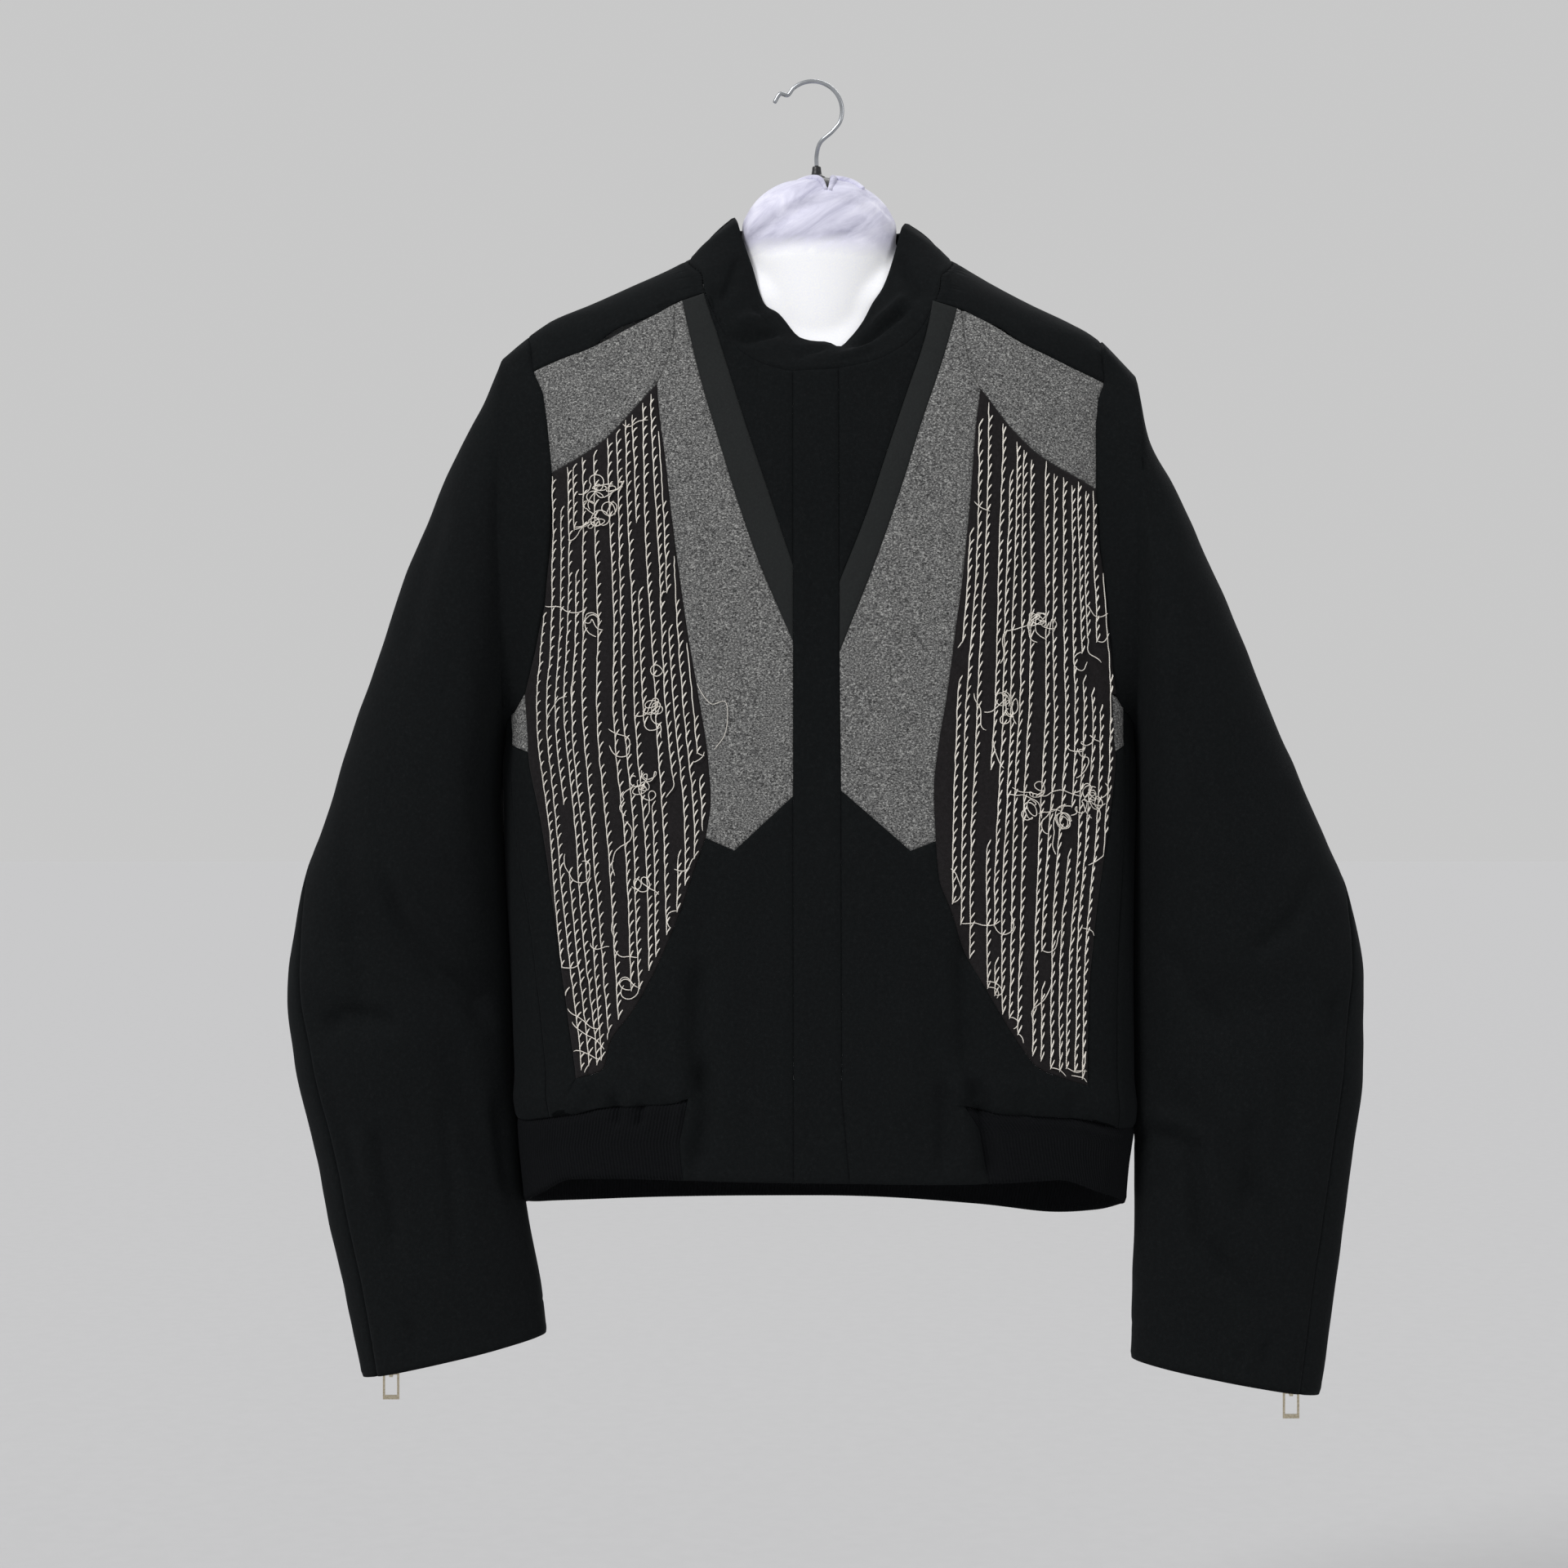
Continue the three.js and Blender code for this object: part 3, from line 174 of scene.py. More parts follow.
def smooth(xs, ys, at):
    """Value at each place of a smooth curve through the rows, held level beyond both ends."""
    xs, ys = np.asarray(xs, float), np.asarray(ys, float)
    if xs[0] > xs[-1]:
        xs, ys = xs[::-1], ys[::-1]
    step = np.diff(xs)
    slope = np.diff(ys) / step
    tangent = np.zeros(len(xs))
    tangent[0], tangent[-1] = slope[0], slope[-1]
    product = slope[:-1] * slope[1:]
    total = np.where(slope[:-1] + slope[1:] == 0, 1, slope[:-1] + slope[1:])
    tangent[1:-1] = np.where(product > 0, 2 * product / total, 0)
    at = np.clip(np.asarray(at, float), xs[0], xs[-1])
    i = np.clip(np.searchsorted(xs, at, side="right") - 1, 0, len(step) - 1)
    t = (at - xs[i]) / step[i]
    return ((2 * t**3 - 3 * t**2 + 1) * ys[i] + (t**3 - 2 * t**2 + t) * tangent[i] * step[i]
            + (3 * t**2 - 2 * t**3) * ys[i + 1] + (t**3 - t**2) * tangent[i + 1] * step[i])


def columns(rows):
    return np.array(rows, float).T


def oval(rows, deg, z):
    """Points of the level sections at each turn and height."""
    table = columns(rows)
    c, s = np.cos(np.radians(deg)), np.sin(np.radians(deg))
    n = smooth(table[0], table[5], z)
    wide = np.where(c < 0, smooth(table[0], table[1], z), smooth(table[0], table[2], z))
    deep = np.where(s < 0, smooth(table[0], table[3], z), smooth(table[0], table[4], z))
    return wide * np.sign(c) * np.abs(c) ** (2 / n), deep * np.sign(s) * np.abs(s) ** (2 / n)


def half_width(z, left):
    """Half width of the body at a height, to the left or right."""
    table = columns(BODY_ROWS)
    return smooth(table[0], table[1 if left else 2], z)


def body_squareness(z):
    table = columns(BODY_ROWS)
    return smooth(table[0], table[5], z)


def x_on_line(line, z):
    """x at a height on a line of (x, z) points that runs downwards."""
    xs, zs = zip(*line)
    return float(np.interp(-z, [-v for v in zs], xs))


# %% [markdown]
# ## Flattening the body
# Cloth is cut flat, so the pieces are laid out in a flat chart: the distance along the level section
# from the centre front, and the height. One table of sections, walked once, gives that distance for
# every point, and turns a point of the chart back into a point of the body.

# %% Flat chart of the body
LEVELS = np.arange(-832.0, -108.0, 2.0)
TURNS = np.linspace(0, 180, 721)


def half_sections(side):
    """x, y and distance from the centre front for every level of one half of the body."""
    deg = -90 + TURNS if side > 0 else -90 - TURNS
    grid_z, grid_deg = np.meshgrid(LEVELS, deg, indexing="ij")
    x, y = oval(BODY_ROWS, grid_deg, grid_z)
    run = np.zeros_like(x)
    run[:, 1:] = np.cumsum(np.hypot(np.diff(x, axis=1), np.diff(y, axis=1)), axis=1)
    return x, y, run


HALVES = {1: half_sections(1), -1: half_sections(-1)}
HALF_LENGTH = {side: HALVES[side][2][:, -1] for side in HALVES}


def level_value(values, z):
    return np.interp(z, LEVELS, values)


def body_point(s, z):
    """Points of the body at a signed distance s from the centre front, past the side and round."""
    s, z = np.broadcast_arrays(np.asarray(s, float), np.asarray(z, float))
    s, z = s.ravel().copy(), z.ravel()
    ends = {side: level_value(HALF_LENGTH[side], z) for side in (1, -1)}
    over = s > ends[1]
    s[over] = -(ends[-1][over] - (s[over] - ends[1][over]))
    under = s < -ends[-1]
    s[under] = ends[1][under] - (-s[under] - ends[-1][under])
    out = np.zeros((len(s), 3))
    out[:, 2] = z
    place = np.clip((z - LEVELS[0]) / (LEVELS[1] - LEVELS[0]), 0, len(LEVELS) - 1.001)
    row = place.astype(int)
    part = place - row
    for side in (1, -1):
        x, y, run = HALVES[side]
        mine = (s >= 0) if side > 0 else (s < 0)
        for r in np.unique(row[mine]):
            pick = np.nonzero(mine & (row == r))[0]
            d, t = np.abs(s[pick]), part[pick]
            share = d / np.interp(z[pick], LEVELS, HALF_LENGTH[side])
            for k, table in ((0, x), (1, y)):
                low = np.interp(share * run[r, -1], run[r], table[r])
                high = np.interp(share * run[r + 1, -1], run[r + 1], table[r + 1])
                out[pick, k] = low * (1 - t) + high * t
    return out


def chart(x, z, back=False):
    """Place in the flat chart of a point of the front, or of the back, given by x and z."""
    side = 1 if x >= 0 else -1
    xs, _, run = HALVES[side]
    r = int(np.clip(round((z - LEVELS[0]) / (LEVELS[1] - LEVELS[0])), 0, len(LEVELS) - 1))
    part = slice(360, None) if back else slice(0, 361)
    line, along = np.abs(xs[r, part]), run[r, part]
    if back:
        line, along = line[::-1], along[::-1]
    share = np.interp(abs(x), line, along) / run[r, -1]
    return side * share * float(level_value(HALF_LENGTH[side], z)), z


print("girth at the chest", round(float(sum(level_value(HALF_LENGTH[s], -400) for s in (1, -1)))), "mm")

# %% [markdown]
# ## Where the sleeves hang against the body
# Rows of a table give a sleeve's outer and inner edge and its depth, from the armhole to the cuff.
# The sleeves rest against the sides, so both cloths are eased outwards until they meet in a line.

# %% Sleeve tables
# left sleeve: outer edge x and z, inner edge x and z, depth to front and back, turn of the back seam
SLEEVE_ROWS_LEFT = [
    (-224, -198, -222, -468, 50, 58, -48), (-235, -225, -225.5, -481, 57, 66, -46),
    (-252, -257, -227.5, -495, 62, 70, -42), (-268, -292, -228, -515, 64, 70, -37),
    (-292, -349, -226.5, -542, 64, 66, -31), (-313.5, -412.6, -224, -571, 62, 60, -24),
    (-333, -469, -222, -594, 59, 54, -17), (-350, -524, -220, -618, 56, 48, -9),
    (-367, -577, -218.8, -635, 53, 42, 18), (-378, -650, -217.4, -661, 50, 37, 34),
    (-372.5, -700, -216, -705, 47, 33, 40), (-359, -757.7, -213.5, -757.7, 43, 30, 42),
    (-347.5, -816, -206.5, -810, 39, 27, 42), (-335.7, -868.6, -197, -860, 35, 24, 41),
    (-325, -923.5, -193.3, -892.5, 32, 22, 39),
]
# right sleeve: outer edge x and z, inner edge x and z, depth to front and back, turn of the back seam
SLEEVE_ROWS_RIGHT = [
    (227, -210, 226, -468, 50, 58, -48), (234.6, -251.5, 229, -483, 58, 66, -46),
    (251.6, -284, 229.5, -498, 62, 70, -42), (266, -314, 229.5, -515, 64, 70, -37),
    (295, -378, 228.5, -542, 64, 66, -31), (320, -441, 227.5, -568, 62, 60, -24),
    (343, -492, 226.8, -591, 59, 54, -17), (363, -540.5, 226.4, -618, 56, 48, -9),
    (379.4, -582.5, 226.2, -644, 53, 42, 18), (390, -641, 226.4, -673, 50, 37, 34),
    (389.3, -703, 226.8, -717, 47, 33, 41), (383, -760.6, 226.8, -763.5, 43, 30, 43),
    (375.3, -822, 226.4, -810, 39, 27, 44), (367.7, -877, 225.6, -857, 35, 24, 45),
    (359.6, -936, 224.7, -910.6, 32, 22, 45),
]
# left sleeve: row, turn, depth, half size in rows and in degrees, slant in degrees a row
SLEEVE_FOLDS_LEFT = [
    (8.6, 62, 5, 1, 13, 22), (9.6, 100, 5, 0.9, 20, 26), (10.3, 52, 4.5, 0.45, 26, 0),
    (11.6, 126, 4, 1.2, 11, 8), (11.9, 56, 3.5, 1.2, 8, 8), (9.5, 250, 5, 0.7, 40, 10),
    (11, 285, 4, 0.6, 34, -10),
]
# right sleeve: row, turn, depth, half size in rows and in degrees, slant in degrees a row
SLEEVE_FOLDS_RIGHT = [
    (11.4, 128, 5, 0.8, 16, -30), (12.6, 88, 4.5, 0.9, 10, -26), (11.4, 74, 4, 1.2, 8, 0),
    (9.9, 100, 4, 0.6, 26, -12), (9.6, 252, 5, 0.7, 40, 10), (11.2, 284, 4, 0.6, 34, -8),
]


def half_gap(side, z):
    """Half the clearance between a side of the body and the sleeve's inner edge, in millimetres."""
    sleeve = columns(SLEEVE_ROWS_LEFT if side < 0 else SLEEVE_ROWS_RIGHT)
    inner = np.interp(-np.asarray(z), -sleeve[3], np.abs(sleeve[2]))
    return np.clip((inner - half_width(z, side < 0)) / 2, 0, 3) + 0.35


print("closest to the sleeves", [round(float(half_gap(side, -600.0)), 2) for side in (-1, 1)], "mm")

# %% [markdown]
# ## Folds
# Wool this heavy hangs in a few broad soft troughs. Each one is a line on the front view with a
# width and a depth, and the cloth sinks towards the line in a bell curve. A little slow noise keeps
# the cloth between the folds from looking pressed.

# %% Troughs and ridges
def along_lines(x, z, rows):
    """Depth that a table of lines (width, depth, then points) gives at each x and z."""
    total = np.zeros_like(x)
    for width, depth, *points in rows:
        best = np.full_like(x, 1e9)
        taper = np.zeros_like(x)
        lengths = [math.dist(a, b) for a, b in zip(points, points[1:])]
        run, whole = 0.0, sum(lengths)
        for (ax, az), (bx, bz), length in zip(points, points[1:], lengths):
            t = np.clip(((x - ax) * (bx - ax) + (z - az) * (bz - az)) / length**2, 0, 1)
            d = np.hypot(x - ax - t * (bx - ax), z - az - t * (bz - az))
            closer = d < best
            best = np.where(closer, d, best)
            taper = np.where(closer, (run + t * length) / whole, taper)
            run += length
        ends = np.clip(np.minimum(taper, 1 - taper) * 5 + 0.15, 0, 1)
        total += depth * ends * np.exp(-(best / width) ** 2)
    return total


def slow_noise(points, size, seed):
    """Gentle unevenness, from -1 to 1, with lumps of the given size in millimetres."""
    return np.array([noise.noise(Vector((p[0] / size + seed, p[1] / size, p[2] / size)))
                     for p in points])


# width, depth (inwards is positive), then the line's points, on the front and on the back
FRONT_LINES = [
    (7, 4.0, (100, -600), (101, -650), (104, -704)),
    (5.5, 5.2, (106, -700), (114, -732), (121, -778)),
    (5, -2.6, (96, -694), (98, -730), (106, -772)),
    (5, 2.6, (86, -704), (87, -742), (86, -772)),
    (7.5, 4.6, (-82, -620), (-84, -680), (-80, -722)),
    (5, 4.2, (-80, -690), (-78, -730), (-84, -770)),
    (5, -2.2, (-95, -700), (-97, -740), (-94, -776)),
    (9, 1.8, (-150, -560), (-158, -640), (-152, -700)),
    (10, 1.6, (166, -520), (172, -600), (165, -690)),
    (8, 1.4, (-128, -700), (-136, -722)),
    (4, 2.2, (-158, -708), (-157, -727)),
    (4.5, 3.0, (-143, -716), (-138, -730), (-141, -738)),
    (3.5, -2.0, (-134, -712), (-130, -728)),
    (3.5, 2.4, (-122, -722), (-124, -738)),
    (4, 1.8, (-118, -706), (-116, -724)),
    (4, 1.6, (140, -712), (142, -732)),
    (4, 1.8, (176, -716), (178, -736)),
    (12, -1.2, (-60, -560), (-64, -660), (-60, -760)),
    (12, -1.2, (62, -570), (66, -660), (60, -760)),
    (10, 1.4, (-186, -300), (-178, -360), (-186, -440)),
    (10, 1.4, (192, -320), (184, -380), (194, -450)),
]
BACK_LINES = [
    (12, 3.0, (-120, -560), (-112, -660), (-120, -742)),
    (11, 3.4, (-40, -600), (-46, -680), (-40, -744)),
    (12, 2.8, (54, -580), (50, -660), (60, -744)),
    (11, 3.2, (140, -560), (132, -660), (138, -742)),
    (14, 2.4, (-180, -430), (-150, -520), (-140, -600)),
    (14, 2.4, (186, -430), (156, -520), (150, -600)),
    (16, -2.0, (-70, -300), (-76, -400)),
    (16, -1.8, (72, -310), (78, -400)),
    (9, 2.0, (-176, -220), (-150, -280)),
    (9, 2.0, (180, -226), (156, -286)),
]
FOLD_DEPTH = 1.45
# from this far out the cloth is eased to meet the sleeve, on the right only above a height
SIDE_FROM = 190
RIGHT_SIDE_PARTS = -756
puckers = random.Random(7)
# small puckers that hang from the back's waist seam, where the rib draws the cloth in
for x in range(-196, 200, 13):
    at = x + puckers.uniform(-4, 4)
    low = -746 + puckers.uniform(-2, 2)
    BACK_LINES.append((puckers.uniform(2.6, 4.6), puckers.uniform(0.8, 2.4), (at, low),
                       (at + puckers.uniform(-4, 4), low + puckers.uniform(10, 34))))


def rib_top(x, back):
    """Height of the waistband's upper edge below a place on the front or back."""
    if back:
        return np.interp(x, [-206, -120, 0, 120, 222], [-738, -743, -747, -747, -744])
    left = np.interp(x, *zip(*([(-206, -738)] + SEAMS["ribTopL"])))
    right = np.interp(x, *zip(*(SEAMS["ribTopR"][::-1] + [(222, -744)])))
    return np.where(x < 0, left, right)


def body_cloth(s, z, lift=0.0):
    """Points of the cloth's outer face, with folds, and the outward normals."""
    p = body_point(s, z)
    e = 1.5
    across = body_point(np.asarray(s) + e, z) - body_point(np.asarray(s) - e, z)
    up = body_point(s, np.asarray(z) + e) - body_point(s, np.asarray(z) - e)
    normal = np.cross(across, up)
    normal /= np.linalg.norm(normal, axis=1)[:, None]
    front = np.clip(0.5 - p[:, 1] / 16, 0, 1)
    sink = FOLD_DEPTH * front * along_lines(p[:, 0], p[:, 2], FRONT_LINES)
    sink += (1 - front) * along_lines(p[:, 0], p[:, 2], BACK_LINES)
    near_rib = p[:, 2] - np.where(p[:, 1] < 0, rib_top(p[:, 0], False), rib_top(p[:, 0], True))
    soft_side = np.clip((np.abs(p[:, 0]) - 95) / 30, 0, 1) + (p[:, 1] > 0)
    above_rib = np.where(near_rib > 0, 2.2 * np.exp(-((near_rib - 14) / 12) ** 2), 0)
    blouse = np.clip(soft_side, 0, 1) * above_rib
    wander = 1.1 * slow_noise(p, 70, 3.0) + 0.45 * slow_noise(p, 24, 9.0)
    calm = np.clip((-z - 150) / 60, 0.25, 1)
    loose = (wander - sink) * calm
    beside = np.clip((np.abs(p[:, 0]) - SIDE_FROM) / 18, 0, 1) * np.clip((-z - 300) / 120, 0, 1)
    beside = beside * np.where(p[:, 0] > 0, np.clip((z - RIGHT_SIDE_PARTS) / 14, 0, 1), 1)
    ease = np.where(p[:, 0] < 0, half_gap(-1, z), half_gap(1, z))
    loose = loose * (1 - beside) + ease * beside
    shoulder_end = np.clip((np.abs(p[:, 0]) - SIDE_FROM) / 14, 0, 1) * np.clip((z + 215) / 25, 0, 1)
    return p + normal * (lift + blouse + loose - 0.9 * shoulder_end)[:, None], normal


# %% [markdown]
# ## From outline to cloth
# A panel is a flat outline in the chart. A Delaunay mesh fills it with evenly spaced points, with
# three rows of points beside the edge, and every point is then carried onto the body. Close to its
# edge the cloth rolls inwards, as it does over a seam allowance, and a Solidify modifier gives the
# wall its thickness.

# %% Filling an outline
WALL = 1.7
EDGE_ROLL = 1.0
ROLL_WIDTH = 1.5
SHOULDER_POINT = -212


def stretch(z):
    """Chart height that gives the sloping shoulder as many points as the upright cloth below."""
    above = np.asarray(z) - SHOULDER_POINT
    return np.where(above > 0, SHOULDER_POINT + above * 2.0, z)


def unstretch(t):
    """Height of a chart height."""
    above = np.asarray(t) - SHOULDER_POINT
    return np.where(above > 0, SHOULDER_POINT + above / 2.0, t)


def run_along(p, step):
    """Distance along a line at each of its points, and even steps of that distance."""
    run = np.concatenate([[0], np.cumsum(np.hypot(*np.diff(p, axis=0).T))])
    return run, np.linspace(0, run[-1], max(2, round(run[-1] / step)) + 1)


def curve_through(points, step=3.0):
    """Evenly stepped smooth line through a seam's points."""
    p = np.array(points, float)
    if len(p) == 2:
        n = max(1, round(math.dist(*p) / step))
        return [tuple(p[0] + (p[1] - p[0]) * i / n) for i in range(n + 1)]
    run, at = run_along(p, step)
    return list(zip(smooth(run, p[:, 0], at), smooth(run, p[:, 1], at)))


def straight(points, step=3.0):
    out = [points[0]]
    for a, b in zip(points, points[1:]):
        out += curve_through([a, b], step)[1:]
    return out


def shrink(loop, by):
    """The outline moved inwards by a distance."""
    p = np.array(loop, float)
    area = np.sum(p[:, 0] * np.roll(p[:, 1], -1) - p[:, 1] * np.roll(p[:, 0], -1))
    a, b = p - np.roll(p, 1, axis=0), np.roll(p, -1, axis=0) - p
    a /= np.linalg.norm(a, axis=1)[:, None]
    b /= np.linalg.norm(b, axis=1)[:, None]
    m = np.stack([-(a + b)[:, 1], (a + b)[:, 0]], axis=1)
    m /= np.maximum(np.linalg.norm(m, axis=1), 1e-9)[:, None]
    mitre = 1 / np.clip(m[:, 0] * -a[:, 1] + m[:, 1] * a[:, 0], 0.35, 1)
    return p + m * (np.sign(area) * by * mitre)[:, None]


def inside(points, loop):
    """Which points lie within the outline."""
    x, y = points[:, 0], points[:, 1]
    hit = np.zeros(len(points), bool)
    for (ax, ay), (bx, by) in zip(loop, np.roll(loop, -1, axis=0)):
        if ay == by:
            continue
        crosses = (ay > y) != (by > y)
        hit ^= crosses & (x < (bx - ax) * (y - ay) / (by - ay) + ax)
    return hit


def tidy_loop(loop, least=0.8):
    out = []
    for p in loop:
        if not out or math.dist(p, out[-1]) > least:
            out.append((float(p[0]), float(p[1])))
    while math.dist(out[0], out[-1]) < least:
        out.pop()
    return out


def fill_outline(loop, spacing=4.2, gap=0.03):
    """Points and triangles that fill an outline, and each point's distance from the edge."""
    edge = shrink(tidy_loop(loop), gap)
    n = len(edge)
    tree = kdtree.KDTree(n)
    for i, p in enumerate(edge):
        tree.insert((p[0], p[1], 0), i)
    tree.balance()

    def distance(p):
        _, i, _ = tree.find((p[0], p[1], 0))
        best = 1e9
        for j in (i - 1, i):
            a, b = edge[j % n], edge[(j + 1) % n]
            ab = b - a
            t = min(1, max(0, float(np.dot(p - a, ab)) / max(1e-9, float(np.dot(ab, ab)))))
            best = min(best, math.dist(p, a + ab * t))
        return best

    rings = [shrink(edge, d) for d in (1.0, 2.3, 4.4)]
    low, high = edge.min(0), edge.max(0)
    rows = int((high[1] - low[1]) / (spacing * 0.87)) + 2
    cols = int((high[0] - low[0]) / spacing) + 2
    grid = np.array([(low[0] + (i + 0.5 * (j % 2)) * spacing, low[1] + j * spacing * 0.87)
                     for j in range(rows) for i in range(cols)])
    keep, dist = [*edge], [0.0] * n
    for ring, d in zip(rings, (1.0, 2.3, 4.4)):
        ring = ring[::2] if d > 2 else ring
        for p in ring[inside(ring, edge)]:
            real = distance(p)
            if real > d * 0.9:
                keep.append(p)
                dist.append(real)
    for p in grid[inside(grid, edge)]:
        real = distance(p)
        if real > 4.4 + spacing * 0.45:
            keep.append(p)
            dist.append(real)
    loop_edges = [(i, (i + 1) % n) for i in range(n)]
    verts, _, faces, origin, _, _ = geometry.delaunay_2d_cdt(
        [Vector(p) for p in keep], loop_edges, [], 1, 1e-5)
    back = [o[0] if o else 0 for o in origin]
    return np.array([tuple(v) for v in verts]), faces, np.array([dist[i] for i in back])


def new_mesh(name, points, faces, uv=None, body="jacket"):
    """A shaded object in metres from points in millimetres, riding on its body."""
    mesh = bpy.data.meshes.new(name)
    mesh.from_pydata((np.asarray(points) * MM).tolist(), [], [list(f) for f in faces])
    mesh.validate()
    if uv is not None:
        layer = mesh.uv_layers.new(name="cloth")
        index = np.zeros(len(mesh.loops), int)
        mesh.loops.foreach_get("vertex_index", index)
        layer.data.foreach_set("uv", (np.asarray(uv)[index] * MM).astype(np.float32).ravel())
    mesh.polygons.foreach_set("use_smooth", [True] * len(mesh.polygons))
    obj = bpy.data.objects.new(name, mesh)
    scene.collection.objects.link(obj)
    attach(obj, body)
    return obj


print("walls", WALL, "mm, edges rolled over", ROLL_WIDTH, "mm")

# %% [markdown]
# ## Making a piece
# Each piece keeps the flat size and area it was cut to. A nearly flat piece is measured across its
# own plane, and a piece that wraps round the body in its chart.

# %% Making a piece
def thicken(obj, wall):
    """Gives a sheet its thickness on the inner side."""
    solid = obj.modifiers.new("thickness", "SOLIDIFY")
    solid.thickness = wall * MM
    solid.offset = -1
    solid.use_even_offset = False
    return obj


def edge_roll(distance, deep=EDGE_ROLL, wide=ROLL_WIDTH):
    return -deep * np.exp(-(distance / wide) ** 2) + 0.18 * np.exp(-((distance - 4) / 2.0) ** 2)


def outward(points, faces, normals):
    """Turns the triangles so that they face along the normals."""
    f = np.array([list(t)[:3] for t in faces])
    face_normal = np.cross(points[f[:, 1]] - points[f[:, 0]], points[f[:, 2]] - points[f[:, 0]])
    flip = np.sum(face_normal * normals[f[:, 0]], axis=1) < 0
    f[flip] = f[flip][:, ::-1]
    return f


def smallest_box(points):
    """Sides of the smallest rectangle that a nearly flat piece can be cut from, however it is turned."""
    about_middle = points - points.mean(0)
    axes = np.linalg.svd(about_middle, full_matrices=False)[2]
    flat = about_middle @ axes[:2].T
    best = np.ptp(flat, axis=0)
    for turn in np.radians(np.arange(0, 90, 1.0)):
        c, s = math.cos(turn), math.sin(turn)
        sides = np.ptp(flat @ np.array([[c, -s], [s, c]]), axis=0)
        best = sides if sides.prod() < best.prod() else best
    return sorted(best)


def declare_sheet(obj, flat_box, rests):
    """Notes that this is cloth, the size it was cut to and what it lies on."""
    area = sum(p.area for p in obj.data.polygons)
    width, length = (float(v) * MM for v in flat_box)
    if area > 0.999 * width * length:
        print(obj.name, "fills", round(area / (width * length), 3), "of its rectangle")
        length = area / (0.985 * width)
    CUTS[obj.name] = (obj, round(width, 4), round(length, 4), round(area, 6), rests)


CUTS = {}


def panel(name, loop, to_body, slot, spacing=4.2):
    """One cut piece: filled in the chart, carried onto the body and thickened."""
    loop = [(x, float(stretch(z))) for x, z in loop]
    flat, faces, dist = fill_outline(loop, spacing)
    points, normals = body_cloth(to_body(flat), unstretch(flat[:, 1]))
    points = points + normals * edge_roll(dist)[:, None]
    obj = new_mesh(name + "_cloth", points, outward(points, faces, normals), flat)
    thicken(obj, WALL)
    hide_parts(name)
    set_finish(obj, slot)
    wraps_round = np.ptp(flat[:, 0]) > 300
    declare_sheet(obj, np.ptp(flat, axis=0) if wraps_round else smallest_box(points), ["torso_form"])
    print(name, len(faces), "triangles")
    return obj


# %% [markdown]
# ## The panels of the front
# Neighbouring panels share a seam line, so each line is drawn once, in the chart, and the outlines
# are put together from those lines. Names end in L or R for the side of the photograph.

# %% Seam lines in the chart
def on_front(points):
    return [chart(x, z) for x, z in points]


STRAIGHT_SEAMS = ("lapelEnd", "ribEnd")
SEAM = {name: (straight if name[:-1] in STRAIGHT_SEAMS else curve_through)(on_front(points))
        for name, points in SEAMS.items() if name[:-1] not in ("arm", "placket")}


def between(line, top, foot, step=3.0):
    """The stretch of a placket line between two heights."""
    heights = np.linspace(top, foot, max(1, round(abs(top - foot) / step)) + 1)
    return [chart(x_on_line(line, z), float(z)) for z in heights]


def rev(line):
    return line[::-1]


# a height in the rib band, where the hem's turn is worked out
HEM_LEVEL = -785.0


def turn_of(x, z):
    """Turn from the right-hand side, in degrees, of a place on the level section at z."""
    side = 1 if x >= 0 else -1
    wide = float(half_width(z, x < 0))
    return math.degrees(math.acos(side * min(1, abs(x) / wide) ** (float(body_squareness(z)) / 2)))


def hem_turn(s):
    """Height of the hem at a place in the chart."""
    p = body_point([s], [HEM_LEVEL])[0]
    turn = turn_of(p[0], HEM_LEVEL) * (1 if p[1] > 0 else -1)
    return float(smooth(*columns(HEM_ROWS), turn))


def hem_line(s0, s1, step=3.0):
    n = max(1, round(abs(s1 - s0) / step))
    return [(float(s), hem_turn(float(s))) for s in np.linspace(s0, s1, n + 1)]


neck_turns = [(-turn_of(x, z), z) for x, z in SEAMS["neckL"] + rev(SEAMS["neckR"])]
NECK_ROWS = [(-180, -123), *neck_turns, (0, -125), (30, -119), (60, -115), (90, -113), (120, -114),
             (150, -118), (180, -123)]


def neck_ring(count):
    """Points of the neck seam round the body as (turn, x, y, z)."""
    deg = np.linspace(-180, 180, count, endpoint=False)
    z = smooth(*columns(NECK_ROWS), deg)
    x, y = oval(BODY_ROWS, deg, z)
    return deg, x, y, z


def s_of(x, y, z):
    side = 1 if x >= 0 else -1
    return chart(float(x), float(z), back=bool(y > 0))[0] if abs(x) > 1e-6 else (
        0.0 if y < 0 else side * float(level_value(HALF_LENGTH[side], z)))


def neck_front(x0, x1):
    """The neck seam across the front between two places, in the chart."""
    _, x, y, z = neck_ring(720)
    pick = [(float(x[i]), float(y[i]), float(z[i])) for i in range(720)
            if y[i] < 0 and min(x0, x1) < x[i] < max(x0, x1)]
    pick.sort(key=lambda p: p[0], reverse=x0 > x1)
    return [(s_of(*p), p[2]) for p in pick]


PLACKET_LEFT = SEAMS["placketL"][:-1] + [(-16.7, -790)]
PLACKET_RIGHT = SEAMS["placketR"][:-1] + [(22.4, -790)]
print(len(SEAM), "seam lines")

# %% [markdown]
# ## The front
# From the placket outwards: the black insets of the V, the charcoal strips, the grey lapels and,
# below them, the lower fronts down to the hem. The placket itself comes last.

